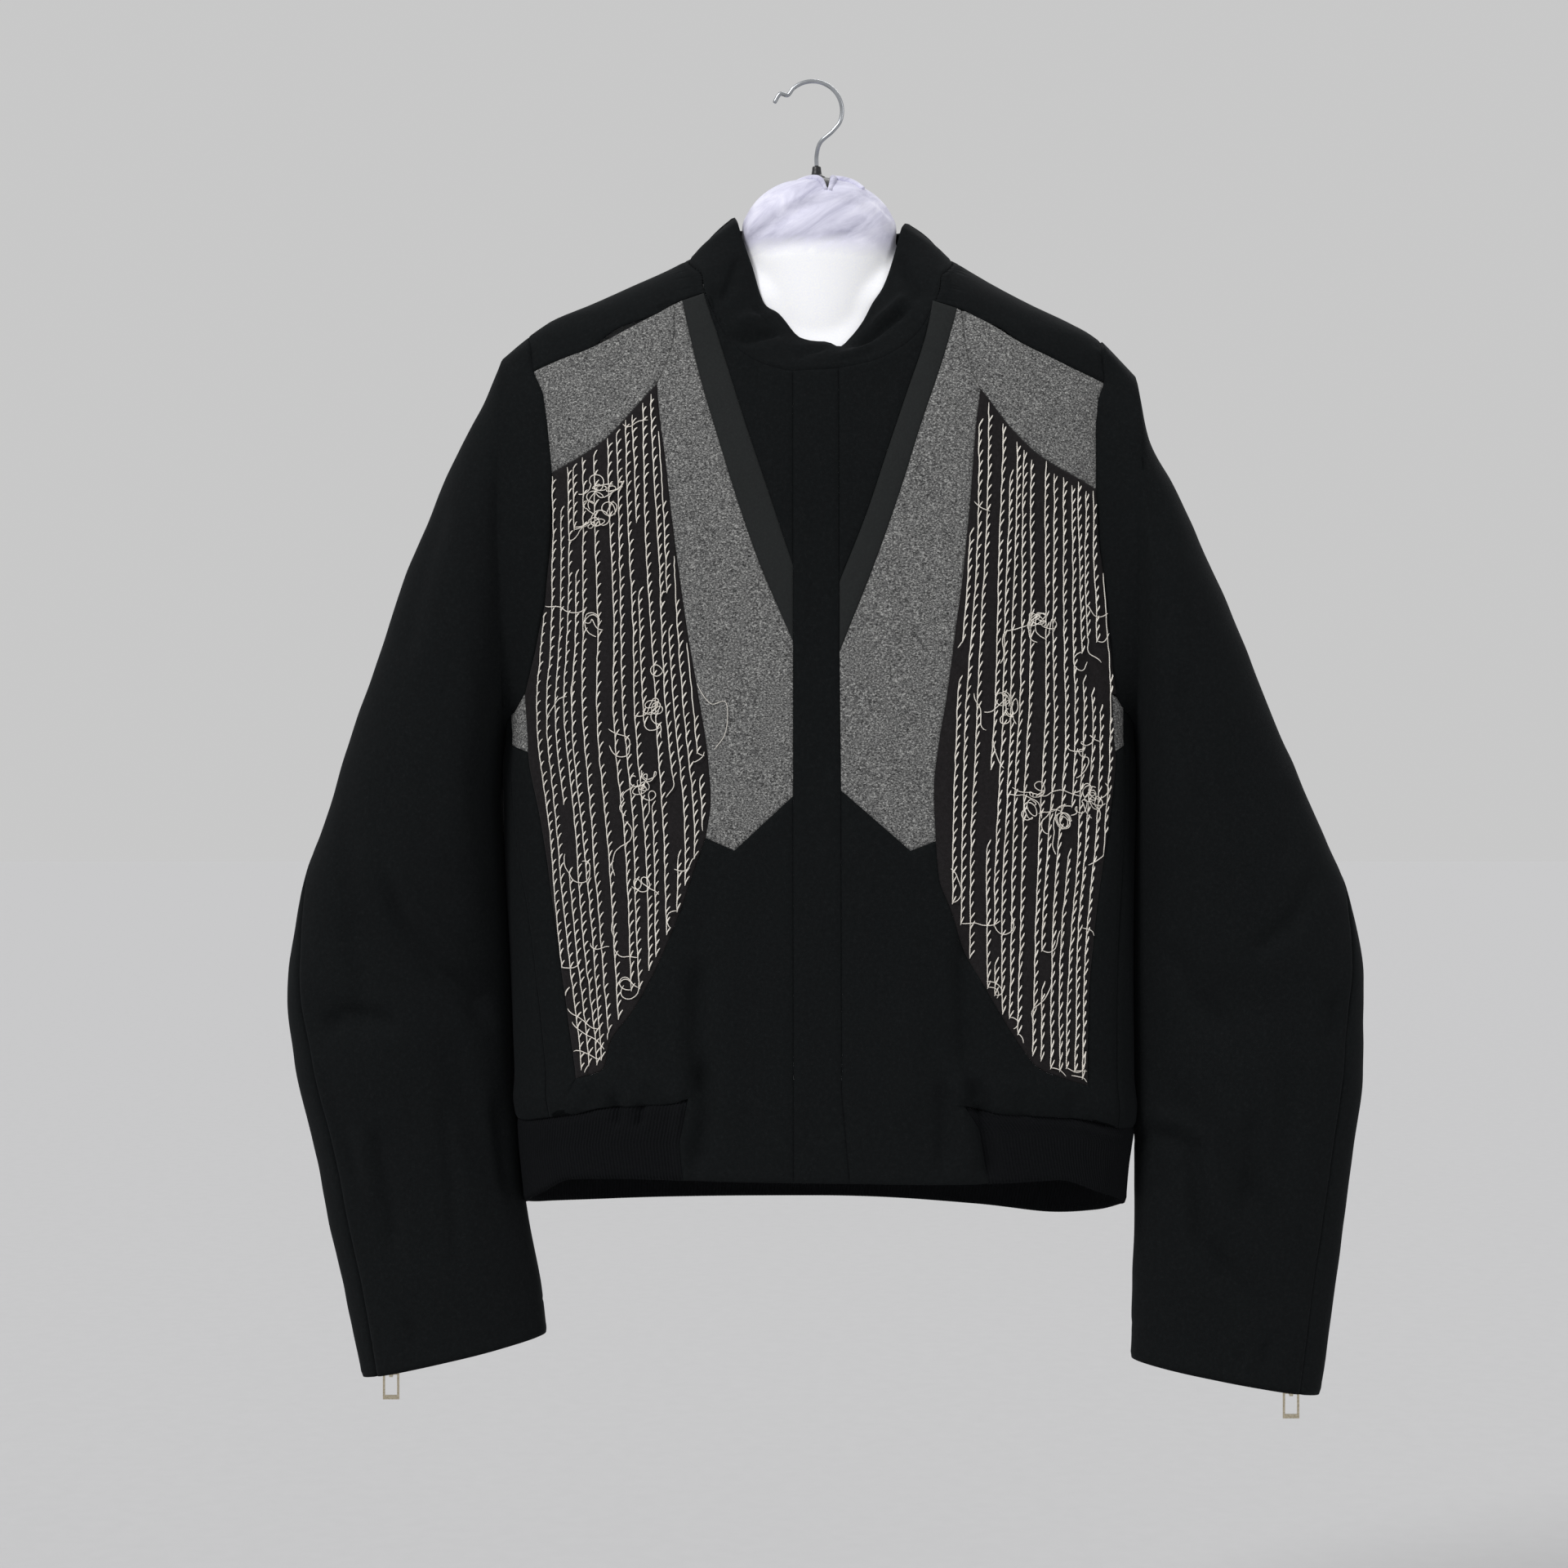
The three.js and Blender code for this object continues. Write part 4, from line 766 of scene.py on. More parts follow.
# %% Cutting the front
GREY, BLACK, STRIP, GROUND = "grey_melange_wool", "black_wool", "charcoal_strip", "embroidered_wool"
as_is = lambda flat: flat[:, 0]
for side in ("L", "R"):
    left = side == "L"
    line = PLACKET_LEFT if left else PLACKET_RIGHT
    q = lambda name: SEAM[name + side]
    inner_end, outer_end = SEAMS["stripIn" + side][-1][1], SEAMS["stripOut" + side][-1][1]
    lapel_end = SEAMS["lapelEnd" + side][-1][1]
    neck_z = SEAMS["neck" + side][-1][1]
    out = (-1 if left else 1) * 300
    neck_x = SEAMS["stripIn" + side][0][0]
    placket_x = line[0][0]
    panel("v_inset_" + side, q("stripIn") + rev(between(line, neck_z, inner_end))
          + neck_front(placket_x, neck_x), as_is, BLACK)
    panel("strip_" + side, q("stripIn") + between(line, inner_end, outer_end) + rev(q("stripOut"))
          + straight([SEAM["stripOut" + side][0], SEAM["stripIn" + side][0]]), as_is, STRIP)
    panel("lapel_" + side, q("stripOut") + between(line, outer_end, lapel_end)
          + rev(q("lapelEnd")) + rev(q("lapel")) + rev(q("patchIn")), as_is, GREY, 4.0)
    hem_z = hem_turn(chart(line[-1][0], HEM_LEVEL)[0])
    rib_foot = hem_turn(SEAM["ribEnd" + side][-1][0])
    rib_end = [p for p in q("ribEnd") if p[1] > rib_foot + 2]
    rib_end.append((rib_end[-1][0], rib_foot))
    hem = hem_line(chart(line[-1][0], hem_z)[0], rib_end[-1][0])
    panel("lower_front_" + side, q("lapelEnd") + between(line, lapel_end, hem_z) + hem
          + rev(rib_end) + rev(q("ribTop")) + rev(q("panelEnd")), as_is, BLACK)
    SEAM["ribEndCut" + side] = rib_end
hem_left, hem_right = (hem_turn(chart(x, HEM_LEVEL)[0]) for x in (-16.7, 22.2))
panel("placket", between(PLACKET_LEFT, SEAMS["neckL"][-1][1], hem_left)
      + hem_line(chart(-16.7, hem_left)[0], chart(22.2, hem_right)[0])
      + rev(between(PLACKET_RIGHT, SEAMS["neckR"][-1][1], hem_right))
      + neck_front(14.4, -17.2), as_is, BLACK)

# %% [markdown]
# ## Sides, shoulder patches and the back
# The side pieces and the patches turn the corner where front meets back, and stop at the shoulder
# and side seams of the back. The armhole cuts all of them, and the sleeve hides that edge.

# %% Armholes and the chart of the back
def arm_line(side):
    """The armhole as (x, z) from the shoulder's ridge to the underarm, where it meets the side."""
    line = SEAMS["arm" + side]
    ridge = min(np.arange(-215, -175, 0.1),
                key=lambda z: abs(float(half_width(z, side == "L")) - abs(x_on_line(line, z))))
    heights = ridge + (line[-1][1] - ridge) * np.linspace(0, 1, 150) ** 1.6
    return [(x_on_line(line, z), float(z)) for z in heights]


def resample(line, step=3.0):
    p = np.array(line, float)
    run, at = run_along(p, step)
    return list(zip(np.interp(at, run, p[:, 0]), np.interp(at, run, p[:, 1])))


def arm_front(side, top, foot):
    return resample([chart(x, z) for x, z in arm_line(side) if foot <= z <= top])


def back_chart(x, z, back=True):
    """Place in the back's own chart, measured from the centre back."""
    s, z = chart(x, z, back)
    side = 1 if x >= 0 else -1
    return side * (float(level_value(HALF_LENGTH[side], z)) - abs(s)), z


def from_back(b, z):
    half = np.where(b >= 0, level_value(HALF_LENGTH[1], z), level_value(HALF_LENGTH[-1], z))
    return np.where(b >= 0, 1, -1) * (half - np.abs(b))


# %% [markdown]
# Each side is cut from the top down: the shoulder patch, the embroidered panel, the small grey
# piece under the arm, and the narrow black side above the waistband.

# %% Cutting the sides
for side in ("L", "R"):
    q = lambda name: SEAM[name + side]
    yoke_end, patch_end = SEAMS["yoke" + side][-1], SEAMS["patchEnd" + side][-1]
    panel_top = SEAMS["panelSide" + side][0]
    yoke_out = [p for p in q("yoke") if abs(p[0]) > abs(q("patchIn")[0][0])]
    panel("shoulder_patch_" + side, q("patchIn") + q("patchEnd")
          + rev(arm_front(side, yoke_end[1], patch_end[1])) + rev(yoke_out), as_is, GREY, 3.6)
    panel("panel_" + side, q("patchEnd") + arm_front(side, patch_end[1], panel_top[1])
          + q("panelSide") + rev(q("panelEnd")) + rev(q("lapel")), as_is, GROUND, 4.4)
    split, side_split = SEAMS["panelSide" + side][1][1], SEAMS["side" + side][1][1]
    upper = [p for p in q("panelSide") if p[1] > split] + [chart(*SEAMS["panelSide" + side][1])]
    lower = [chart(*SEAMS["panelSide" + side][1])] + [p for p in q("panelSide") if p[1] < split]
    arm = [chart(x, z) for x, z in arm_line(side) if z < panel_top[1] - 0.5]
    arm = resample([p for p in arm if abs(p[0]) < abs(x_on_line(q("side"), p[1]))])
    side_upper = [p for p in q("side") if side_split < p[1] < arm[-1][1]]
    side_upper.append(chart(*SEAMS["side" + side][1]))
    panel("side_grey_" + side, upper + rev(side_upper) + rev(arm), as_is, GREY, 3.2)
    side_lower = [chart(*SEAMS["side" + side][1])] + [p for p in q("side") if p[1] < side_split]
    foot = [p for p in q("ribTop") if abs(q("panelEnd")[-1][0]) < abs(p[0]) < abs(q("side")[-1][0])]
    foot.sort(key=lambda p: abs(p[0]))
    panel("side_" + side, lower + foot + rev(side_lower), as_is, BLACK, 4.0)

# %% [markdown]
# ## The back
# The back is one piece with forward shoulders: it comes over the shoulder as far as the yoke seam
# on the front. Its chart is measured from the centre back, so the piece lies in one stretch.

# %% Cutting the back
def side_run(side):
    return curve_through([back_chart(x, z, False) for x, z in SEAMS["side" + side]])


# below this height the armhole passes under the arm
UNDERARM = -446


def arm_back(side):
    """Armhole in the back's chart, from the yoke seam over the shoulder down to the side piece."""
    yoke_z = SEAMS["yoke" + side][-1][1]
    line = arm_line(side)
    front = [back_chart(x, z, False) for x, z in rev(line) if z >= yoke_z]
    down = [back_chart(x, z, True) for x, z in line]
    under = [back_chart(x, z, False) for x, z in rev(line)
             if z < UNDERARM and abs(x) > abs(x_on_line(SEAMS["side" + side], z))]
    return resample(front + down + under), (under[-1] if under else down[-1])


def back_top():
    """Neck seam from the left yoke seam round the back to the right one."""
    _, x, y, z = neck_ring(720)
    points = [back_chart(float(a), float(c), bool(b > 0)) for a, b, c in zip(x, y, z)
              if b >= 0 or c > SEAMS["yokeL" if a < 0 else "yokeR"][0][1]]
    return resample(sorted(points))


loop_left, foot_left = arm_back("L")
loop_right, foot_right = arm_back("R")
side_left = [p for p in side_run("L") if p[1] < foot_left[1] - 1]
side_right = [p for p in side_run("R") if p[1] < foot_right[1] - 1]
yoke_left = curve_through([back_chart(x, z, False) for x, z in SEAMS["yokeL"]])
yoke_right = curve_through([back_chart(x, z, False) for x, z in SEAMS["yokeR"]])


RIB_START = -742.0
PLAIN_MIDDLE = 60


def settled_rib_top(b, rounds, keep_middle=False):
    """Height of the waistband's upper edge at a place in the back's chart, found in a few rounds."""
    z = RIB_START
    for _ in range(rounds):
        p = body_point(from_back(np.array([b]), np.array([z])), [z])[0]
        if not keep_middle or abs(p[0]) > PLAIN_MIDDLE or p[1] > 0:
            z = float(rib_top(p[0], p[1] > 0))
    return z


def rib_line():
    """Top of the waistband in the back's chart, from the left side seam round to the right one."""
    start, stop = side_left[-1][0], side_right[-1][0]
    return [(float(b), settled_rib_top(b, 4)) for b in np.linspace(start, stop, 300)]


back_loop = (back_top() + yoke_right + loop_right + side_right + rev(resample(rib_line()))
             + rev(side_left) + rev(loop_left) + rev(yoke_left))
panel("back", back_loop, lambda flat: from_back(flat[:, 0], unstretch(flat[:, 1])), BLACK, 5.2)

# %% [markdown]
# ## Waistband
# The waistband is a knitted rib: fine upright ribs side by side, from one front end round the back
# to the other. A regular grid follows the ribs, and every rib is a small rounded swelling.

# %% Waistband
RIB_PITCH = 2.35
RIB_HEIGHT = 0.42


def grid_faces(rows, cols):
    i, j = np.meshgrid(np.arange(rows - 1), np.arange(cols - 1), indexing="ij")
    a = (i * cols + j).ravel()
    return np.stack([a, a + 1, a + cols + 1, a + cols], axis=1)


def grid_triangles(rows, cols):
    quads = grid_faces(rows, cols)
    return np.vstack([quads[:, :3], quads[:, [0, 2, 3]]])


def end_turn(side, z):
    return back_chart(x_on_line(SEAMS["ribEnd" + side], z), z, False)[0]


print("one rib each", RIB_PITCH, "mm")

# %% [markdown]
# The grid is laid in the back's chart. Its upper rows tuck in behind the cloth above, so no gap
# shows along that seam.

# %% Knitting the band
GAP = 0.03
TUCK, TUCK_DEPTH = 3.0, 2.6
RIB_SINK = 0.35
rib_rows = 16
ends = (end_turn("L", -750), end_turn("R", -750))
rib_count = round((ends[1] - ends[0]) / RIB_PITCH)
rib_cols = rib_count * 5 + 1
u = np.linspace(0, 1, rib_cols)
v = np.linspace(0, 1, rib_rows)
top_z = np.zeros(rib_cols)
low_z = np.zeros(rib_cols)
for i, b in enumerate(ends[0] + (ends[1] - ends[0]) * u):
    top_z[i] = settled_rib_top(b, 3, keep_middle=True) - GAP
    low_z[i] = hem_turn(float(from_back(np.array([b]), np.array([HEM_LEVEL]))[0]))
Z = low_z + (top_z + TUCK - low_z) * v[:, None]
left_b = np.array([end_turn("L", z) for z in Z[:, 0]]) + GAP
right_b = np.array([end_turn("R", z) for z in Z[:, -1]]) - GAP
B = left_b[:, None] + (right_b - left_b)[:, None] * u
flat_s = from_back(B.ravel(), Z.ravel())
points, normals = body_cloth(flat_s, Z.ravel())
edge = np.minimum(np.minimum(B - left_b[:, None], right_b[:, None] - B),
                  np.minimum(Z - low_z, np.abs(top_z - Z)))
ribs = RIB_HEIGHT * np.sin(2 * np.pi * u * rib_count) * np.ones_like(v)[:, None]
tucked = TUCK_DEPTH / (1 + np.exp(-(Z - top_z - 0.6) / 0.5))
lift = (ribs - RIB_SINK - tucked).ravel() + edge_roll(edge.ravel(), 0.8, 1.2)
points = points + normals * lift[:, None]
rib = new_mesh("rib_band_knit", points, outward(points, grid_triangles(rib_rows, rib_cols), normals),
               np.stack([B.ravel(), Z.ravel()], axis=1))
thicken(rib, 1.5)
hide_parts("rib_band")
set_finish(rib, "rib_knit")
declare_sheet(rib, (B.max() - B.min(), Z.max() - Z.min()), ["torso_form"])
print("ribs:", rib_count)

# %% [markdown]
# ## Collar
# The collar is a standing band that folds over softly: fuller half way up, and sunk in two shallow
# troughs on each side of the front, where it is pressed together by the fastened placket.

# %% Collar
# collar's upper edge on the left, from the side of the neck to the centre front
COLLAR_TOP_LEFT = [
    (-59.1, 4, -94.5), (-56.5, -11, -101), (-52, -20, -116.4), (-45.4, -28, -136), (-36.5, -36, -164),
    (-21.7, -43, -177.7), (-12, -46, -188), (-2, -47.5, -191), (6, -47.5, -191.5),
    (14.5, -46.5, -195.5),
]
# collar's upper edge on the right, from the side of the neck to the centre front
COLLAR_TOP_RIGHT = [
    (63.8, 4, -99), (60.7, -8, -103.8), (55, -20, -123.1), (45.8, -31, -151), (38.1, -36, -163.2),
    (31.1, -40, -176.2), (23, -43.5, -187.5), (14.5, -46.5, -195.5),
]
COLLAR_WALL = 2.2
NECK_Y = 4.0
FOOT_GAP = 0.08
TUCK_DOWN, TUCK_IN = 3.5, 3.2
BACK_TOP = ((0, -99.5), (18, -102), (45, -96), (90, -91), (135, -95), (162, -100), (180, -95))


def collar_top(deg):
    left = [(math.degrees(math.atan2(y - NECK_Y, x)), x, y, z) for x, y, z in COLLAR_TOP_LEFT]
    right = [(math.degrees(math.atan2(y - NECK_Y, x)), x, y, z) for x, y, z in COLLAR_TOP_RIGHT]
    rear = [(d, (63.8 if d < 90 else 59.4) * math.cos(math.radians(d)),
             NECK_Y + 60 * math.sin(math.radians(d)), z) for d, z in BACK_TOP]
    rows = left + right[:-1][::-1] + rear
    rows[0] = (-180, *rows[0][1:])
    rows = [r for i, r in enumerate(rows) if i == 0 or r[0] > rows[i - 1][0] + 0.01]
    table = columns(rows)
    return np.stack([smooth(table[0], table[k], deg) for k in (1, 2, 3)], axis=-1)


collar_cols, collar_rows = 300, 30
deg, x, y, z = neck_ring(collar_cols)
foot = np.stack([x, y, z], axis=-1)
top = collar_top(np.degrees(np.arctan2(y - NECK_Y, x)))
v = np.linspace(0, 1, collar_rows)[:, None, None]
cloth = foot + (top - foot) * v
out = cloth[..., :2] - np.array([0, NECK_Y])
out /= np.linalg.norm(out, axis=-1)[..., None]
fullness = np.interp(np.abs(deg), [0, 25, 60, 100, 155, 180], [1.5, 2.2, 4.2, 4.2, 2.2, 1.5])
lift = np.sin(np.pi * v[..., 0]) * np.where(y < 0, fullness, 2.5)
along = (foot + (top - foot) * 0.1) - foot
cloth[0] += along / np.linalg.norm(along, axis=-1)[:, None] * FOOT_GAP
cloth[..., :2] += out * (lift * 0.7)[..., None]
cloth[..., 2] += lift * 0.7
foot_dir = foot - top
foot_dir /= np.linalg.norm(foot_dir, axis=-1)[:, None]
inwards = np.concatenate([-out[0], np.zeros((collar_cols, 1))], axis=1)
tuck = foot + foot_dir * TUCK_DOWN + inwards * TUCK_IN
cloth = np.concatenate([tuck[None], cloth])
collar_rows += 1
v = np.concatenate([[[[0.0]]], v])
print("collar rows", collar_rows)

# %% [markdown]
# The front of the collar is pressed into short troughs and ridges, and on the left its upper edge
# rises in a small bump.

# %% Folds of the collar
COLLAR_LINES = [
    (3.4, 6.4, (-64, -193), (-48, -192), (-35, -187), (-24, -184)),
    (3.2, 5.8, (24, -197), (36, -189), (50, -178), (64, -168)),
    (4.2, 3.6, (-68, -168), (-60, -150), (-54, -128)),
    (4.2, 3.8, (72, -166), (64, -146), (58, -124)),
    (3.4, -3.4, (-58, -180), (-44, -176), (-32, -171)),
    (3.4, -3.2, (38, -181), (52, -169), (62, -159)),
    (2.8, 3.2, (-16, -206), (-6, -200), (5, -198)),
    (3.2, -2.4, (10, -207), (24, -202), (40, -196)),
    (3.0, 2.6, (-44, -168), (-37, -176), (-31, -186)),
    (3.4, 2.4, (-70, -188), (-74, -172), (-72, -152)),
    (3.4, 2.4, (78, -188), (80, -170), (76, -150)),
]
edge_bump = 3.0 * np.exp(-((cloth[..., 0] + 28) / 6.5) ** 2) * np.clip(v[..., 0], 0, 1) ** 2
cloth[..., 2] += edge_bump * (cloth[..., 1] < 0)
flat_points = cloth.reshape(-1, 3)
nu = np.roll(cloth, -1, axis=1) - np.roll(cloth, 1, axis=1)
nv = np.gradient(cloth, axis=0)
collar_normal = np.cross(nu, nv)
collar_normal /= np.linalg.norm(collar_normal, axis=-1)[..., None]
collar_normal = collar_normal.reshape(-1, 3)
front_part = np.clip(0.5 - flat_points[:, 1] / 16, 0, 1)
sink = front_part * along_lines(flat_points[:, 0], flat_points[:, 2], COLLAR_LINES)
sink = sink * np.sin(np.pi * np.clip(v[..., 0] * np.ones(collar_cols), 0.02, 0.98)).ravel() ** 0.5
calm = np.minimum(1, (v[..., 0] * np.ones(collar_cols)).ravel() * 4)
wave = 0.8 * slow_noise(flat_points, 32, 4.0) * calm
collar_edge = np.minimum(v[..., 0], 1 - v[..., 0]) * 60 * np.ones(collar_cols)
rolled = edge_roll(collar_edge.ravel(), 0.7, 2.0)
flat_points = flat_points + collar_normal * (wave - sink + rolled)[:, None]
quads = grid_faces(collar_rows, collar_cols)
seam = np.arange(collar_rows - 1) * collar_cols
corners = (seam + collar_cols - 1, seam, seam + collar_cols, seam + 2 * collar_cols - 1)
quads = np.vstack([quads, np.stack(corners, axis=1)])
collar_uv = np.stack([np.tile(deg * 1.6, collar_rows),
                      np.repeat(np.linspace(-3, 60, collar_rows), collar_cols)], axis=1)
collar = new_mesh("collar_cloth", flat_points, quads, collar_uv)
thicken(collar, COLLAR_WALL)
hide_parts("collar")
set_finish(collar, BLACK)
declare_sheet(collar, (470, 62), ["torso_form"])
print("collar", len(quads), "faces")

# %% [markdown]
# ## Sleeves
# A sleeve is cut in two: a broad top sleeve and a narrow under sleeve. The sections of its table
# make the surface, and the two seams run down between the pieces.

# %% Sleeve surface
INNER_SEAM = 202
CUFF_ROW = 15
ARMHOLE_DEPTH = 275


def armhole(side, turn, sink):
    """The armhole seam as a closed line round the body's side, the shape a sleeve starts from."""
    line = np.array(SEAMS["arm" + side][1:])
    run, _ = run_along(line, 3.0)
    low = sink / ARMHOLE_DEPTH
    share = low + (1 - 2 * low) * (1 - np.cos(turn)) / 2
    x = np.interp(share * run[-1], run, line[:, 0])
    z = np.interp(share * run[-1], run, line[:, 1])
    s = -1 if side == "L" else 1
    table = columns(BODY_ROWS)
    n, w = body_squareness(z), half_width(z, s < 0)
    rear = np.sin(turn) < 0
    d = np.where(rear, smooth(table[0], table[4], z), smooth(table[0], table[3], z))
    full = np.maximum(0, 1 - np.minimum(1, np.abs(x) / w) ** n) ** (1 / n) * d
    deep = np.maximum(0, full - sink) * np.minimum(1, np.abs(np.sin(turn)) * 3)
    return np.stack([x + s * 0.55, np.where(rear, deep, -deep), z], axis=-1)


def sleeve_point(side, row, deg, sink=0.0):
    """Points of a sleeve's outer face at a row and a turn (0 is the outer edge, 90 the front)."""
    rows = SLEEVE_ROWS_LEFT if side == "L" else SLEEVE_ROWS_RIGHT
    folds = SLEEVE_FOLDS_LEFT if side == "L" else SLEEVE_FOLDS_RIGHT
    table = columns(rows)
    number = np.arange(1, len(rows) + 1)
    at = np.maximum(1, row)
    ox, oz, ix, iz, front, rear = (smooth(number, table[k], at) for k in range(6))
    turn = np.radians(deg)
    length = np.hypot(ix - ox, iz - oz)
    ux, uz = (ox - ix) / length, (oz - iz) / length
    fold = np.zeros_like(turn)
    for f_row, f_turn, f_deep, f_rows, f_wide, f_slant in folds:
        a = (row - f_row) / f_rows
        b = ((deg - f_turn - f_slant * (row - f_row) + 540) % 360 - 180) / f_wide
        fold += f_deep * np.exp(-a * a - b * b)
    deep = np.where(np.sin(turn) < 0, rear, front) - sink - fold
    c = np.sign(np.cos(turn)) * np.abs(np.cos(turn)) ** 0.92
    sn = np.sign(np.sin(turn)) * np.abs(np.sin(turn)) ** 0.92
    p = np.stack([(ox + ix) / 2 + ux * (length / 2 - sink) * c, -deep * sn,
                  (oz + iz) / 2 + uz * (length / 2 - sink) * c], axis=-1)
    share = np.clip(row, 0, 1)[..., None]
    return np.where(row[..., None] < 1, armhole(side, turn, sink) * (1 - share) + p * share, p)


# %% [markdown]
# The folds of the sleeves are the largest on the garment: at the elbow the cloth breaks into soft
# diagonal troughs. They are drawn as lines on the front view, and a few others on the back.

# %% Sleeve folds
# width, depth (inwards is positive), then the line's points
SLEEVE_LINES = {
    "L": [
        (8, 4.5, (-304, -565), (-289, -600), (-267, -632), (-240, -654), (-229, -676)),
        (6, -2.0, (-296, -552), (-276, -590), (-252, -620), (-234, -640)),
        (7, 3.6, (-349, -676), (-330, -663), (-308, -665), (-292, -672)),
        (6, 3.0, (-224, -720), (-218, -780), (-205, -812)),
        (6, 3.2, (-311, -736), (-300, -804), (-297, -834)),
        (6, -1.6, (-322, -744), (-312, -800)),
        (4, 1.8, (-289, -878), (-282, -894)),
        (9, 2.4, (-236, -486), (-226, -540), (-222, -600)),
        (10, 2.2, (-262, -300), (-280, -360), (-290, -420)),
        (8, 1.8, (-330, -590), (-318, -640), (-322, -690)),
        (5, 1.4, (-262, -720), (-256, -780), (-252, -850)),
    ],
    "R": [
        (7, 4.2, (221, -747), (247, -750), (262, -759), (267, -785), (270, -820), (284, -840), (302, -863)),
        (6, -1.8, (228, -736), (256, -738), (276, -752), (281, -790), (290, -822)),
        (7, 3.2, (305, -730), (305, -770), (303, -805)),
        (6, 2.6, (362, -649), (363, -684)),
        (4, 1.8, (316, -892), (317, -912)),
        (3, 1.4, (298, -898), (297, -912)),
        (6, 2.2, (224, -262), (234, -300), (246, -343)),
        (9, 2.2, (250, -420), (262, -480), (272, -540)),
        (8, 2.4, (352, -560), (334, -596), (300, -622)),
        (7, 2.0, (246, -612), (262, -650), (290, -676)),
        (10, 1.8, (336, -500), (330, -560)),
    ],
}
SLEEVE_BACK_LINES = {
    "L": [
        (9, 4.0, (-240, -640), (-290, -664), (-350, -660)),
        (8, 3.4, (-236, -590), (-280, -612), (-340, -600)),
        (8, 2.8, (-230, -720), (-280, -744), (-340, -742)),
        (12, 2.6, (-250, -300), (-276, -400), (-290, -500)),
        (7, 2.4, (-270, -780), (-262, -860)),
    ],
    "R": [
        (9, 4.0, (250, -640), (300, -668), (366, -664)),
        (8, 3.2, (246, -586), (300, -616), (350, -600)),
        (8, 3.0, (244, -730), (300, -752), (366, -744)),
        (12, 2.6, (256, -310), (284, -400), (300, -500)),
        (7, 2.4, (290, -790), (286, -870)),
    ],
}


HEAD_LIFT, HEAD_LAP = 1.7, 1.9
ZIP_TURN, ZIP_ROOM = 49, 0.7


def sleeve_cloth(side, row, deg):
    """Points of a sleeve's cloth, with folds, and the outward normals."""
    p = sleeve_point(side, row, deg)
    e_deg, e_row = 0.6, 0.02
    across = sleeve_point(side, row, deg + e_deg) - sleeve_point(side, row, deg - e_deg)
    down = (sleeve_point(side, np.minimum(row + e_row, CUFF_ROW), deg)
            - sleeve_point(side, np.maximum(row - e_row, 0), deg))
    normal = np.cross(across, down)
    normal /= np.maximum(np.linalg.norm(normal, axis=-1), 1e-9)[..., None]
    mid = sleeve_point(side, row, deg + 180)
    facing = np.sum(normal * (p - mid), axis=-1)
    normal = normal * np.where(np.sum(facing) < 0, -1, 1)
    flat = p.reshape(-1, 3)
    front = np.clip(0.5 + np.sin(np.radians(deg)).ravel() * 2.5, 0, 1)
    sink = FOLD_DEPTH * front * along_lines(flat[:, 0], flat[:, 2], SLEEVE_LINES[side])
    sink += FOLD_DEPTH * (1 - front) * along_lines(flat[:, 0], flat[:, 2], SLEEVE_BACK_LINES[side])
    wander = 1.3 * slow_noise(flat, 60, 5.0 if side == "L" else 15.0) + 0.5 * slow_noise(flat, 22, 7.0)
    at_row, at_deg = row.ravel(), deg.ravel()
    calm = np.clip(at_row / 1.2, 0.1, 1)
    # towards the body the sleeve is eased out to meet it
    beside = np.clip(1.5 - np.abs((at_deg % 360) - 180) / 22, 0, 1) * np.clip((at_row - 0.6) / 0.8, 0, 1)
    beside = beside * (np.clip((flat[:, 2] - RIGHT_SIDE_PARTS) / 14, 0, 1) if side == "R" else 1)
    ease = half_gap(-1 if side == "L" else 1, flat[:, 2]) * beside
    # its head is raised, and laps over the shoulder's end
    upper = np.clip(np.cos(np.radians(at_deg)), 0, 1)
    head = HEAD_LIFT * upper * np.exp(-(at_row / 0.8) ** 2)
    lap = HEAD_LAP * upper * np.exp(-(at_row / 0.25) ** 2)
    # the zip's place at the cuff is kept smooth, with room for the pull
    over_zip = np.clip(1.6 - np.abs(at_deg - ZIP_TURN) / 14, 0, 1)
    over_zip = over_zip * np.clip((at_row - CUFF_ROW + 1.2) / 0.5, 0, 1)
    loose = (wander - sink) * calm * (1 - beside) * (1 - over_zip) + ease + head + ZIP_ROOM * over_zip
    inward = -down.reshape(-1, 3) / np.maximum(np.linalg.norm(down, axis=-1).ravel(), 1e-9)[:, None]
    moved = flat + normal.reshape(-1, 3) * loose[:, None] + inward * lap[:, None]
    return moved.reshape(p.shape), normal


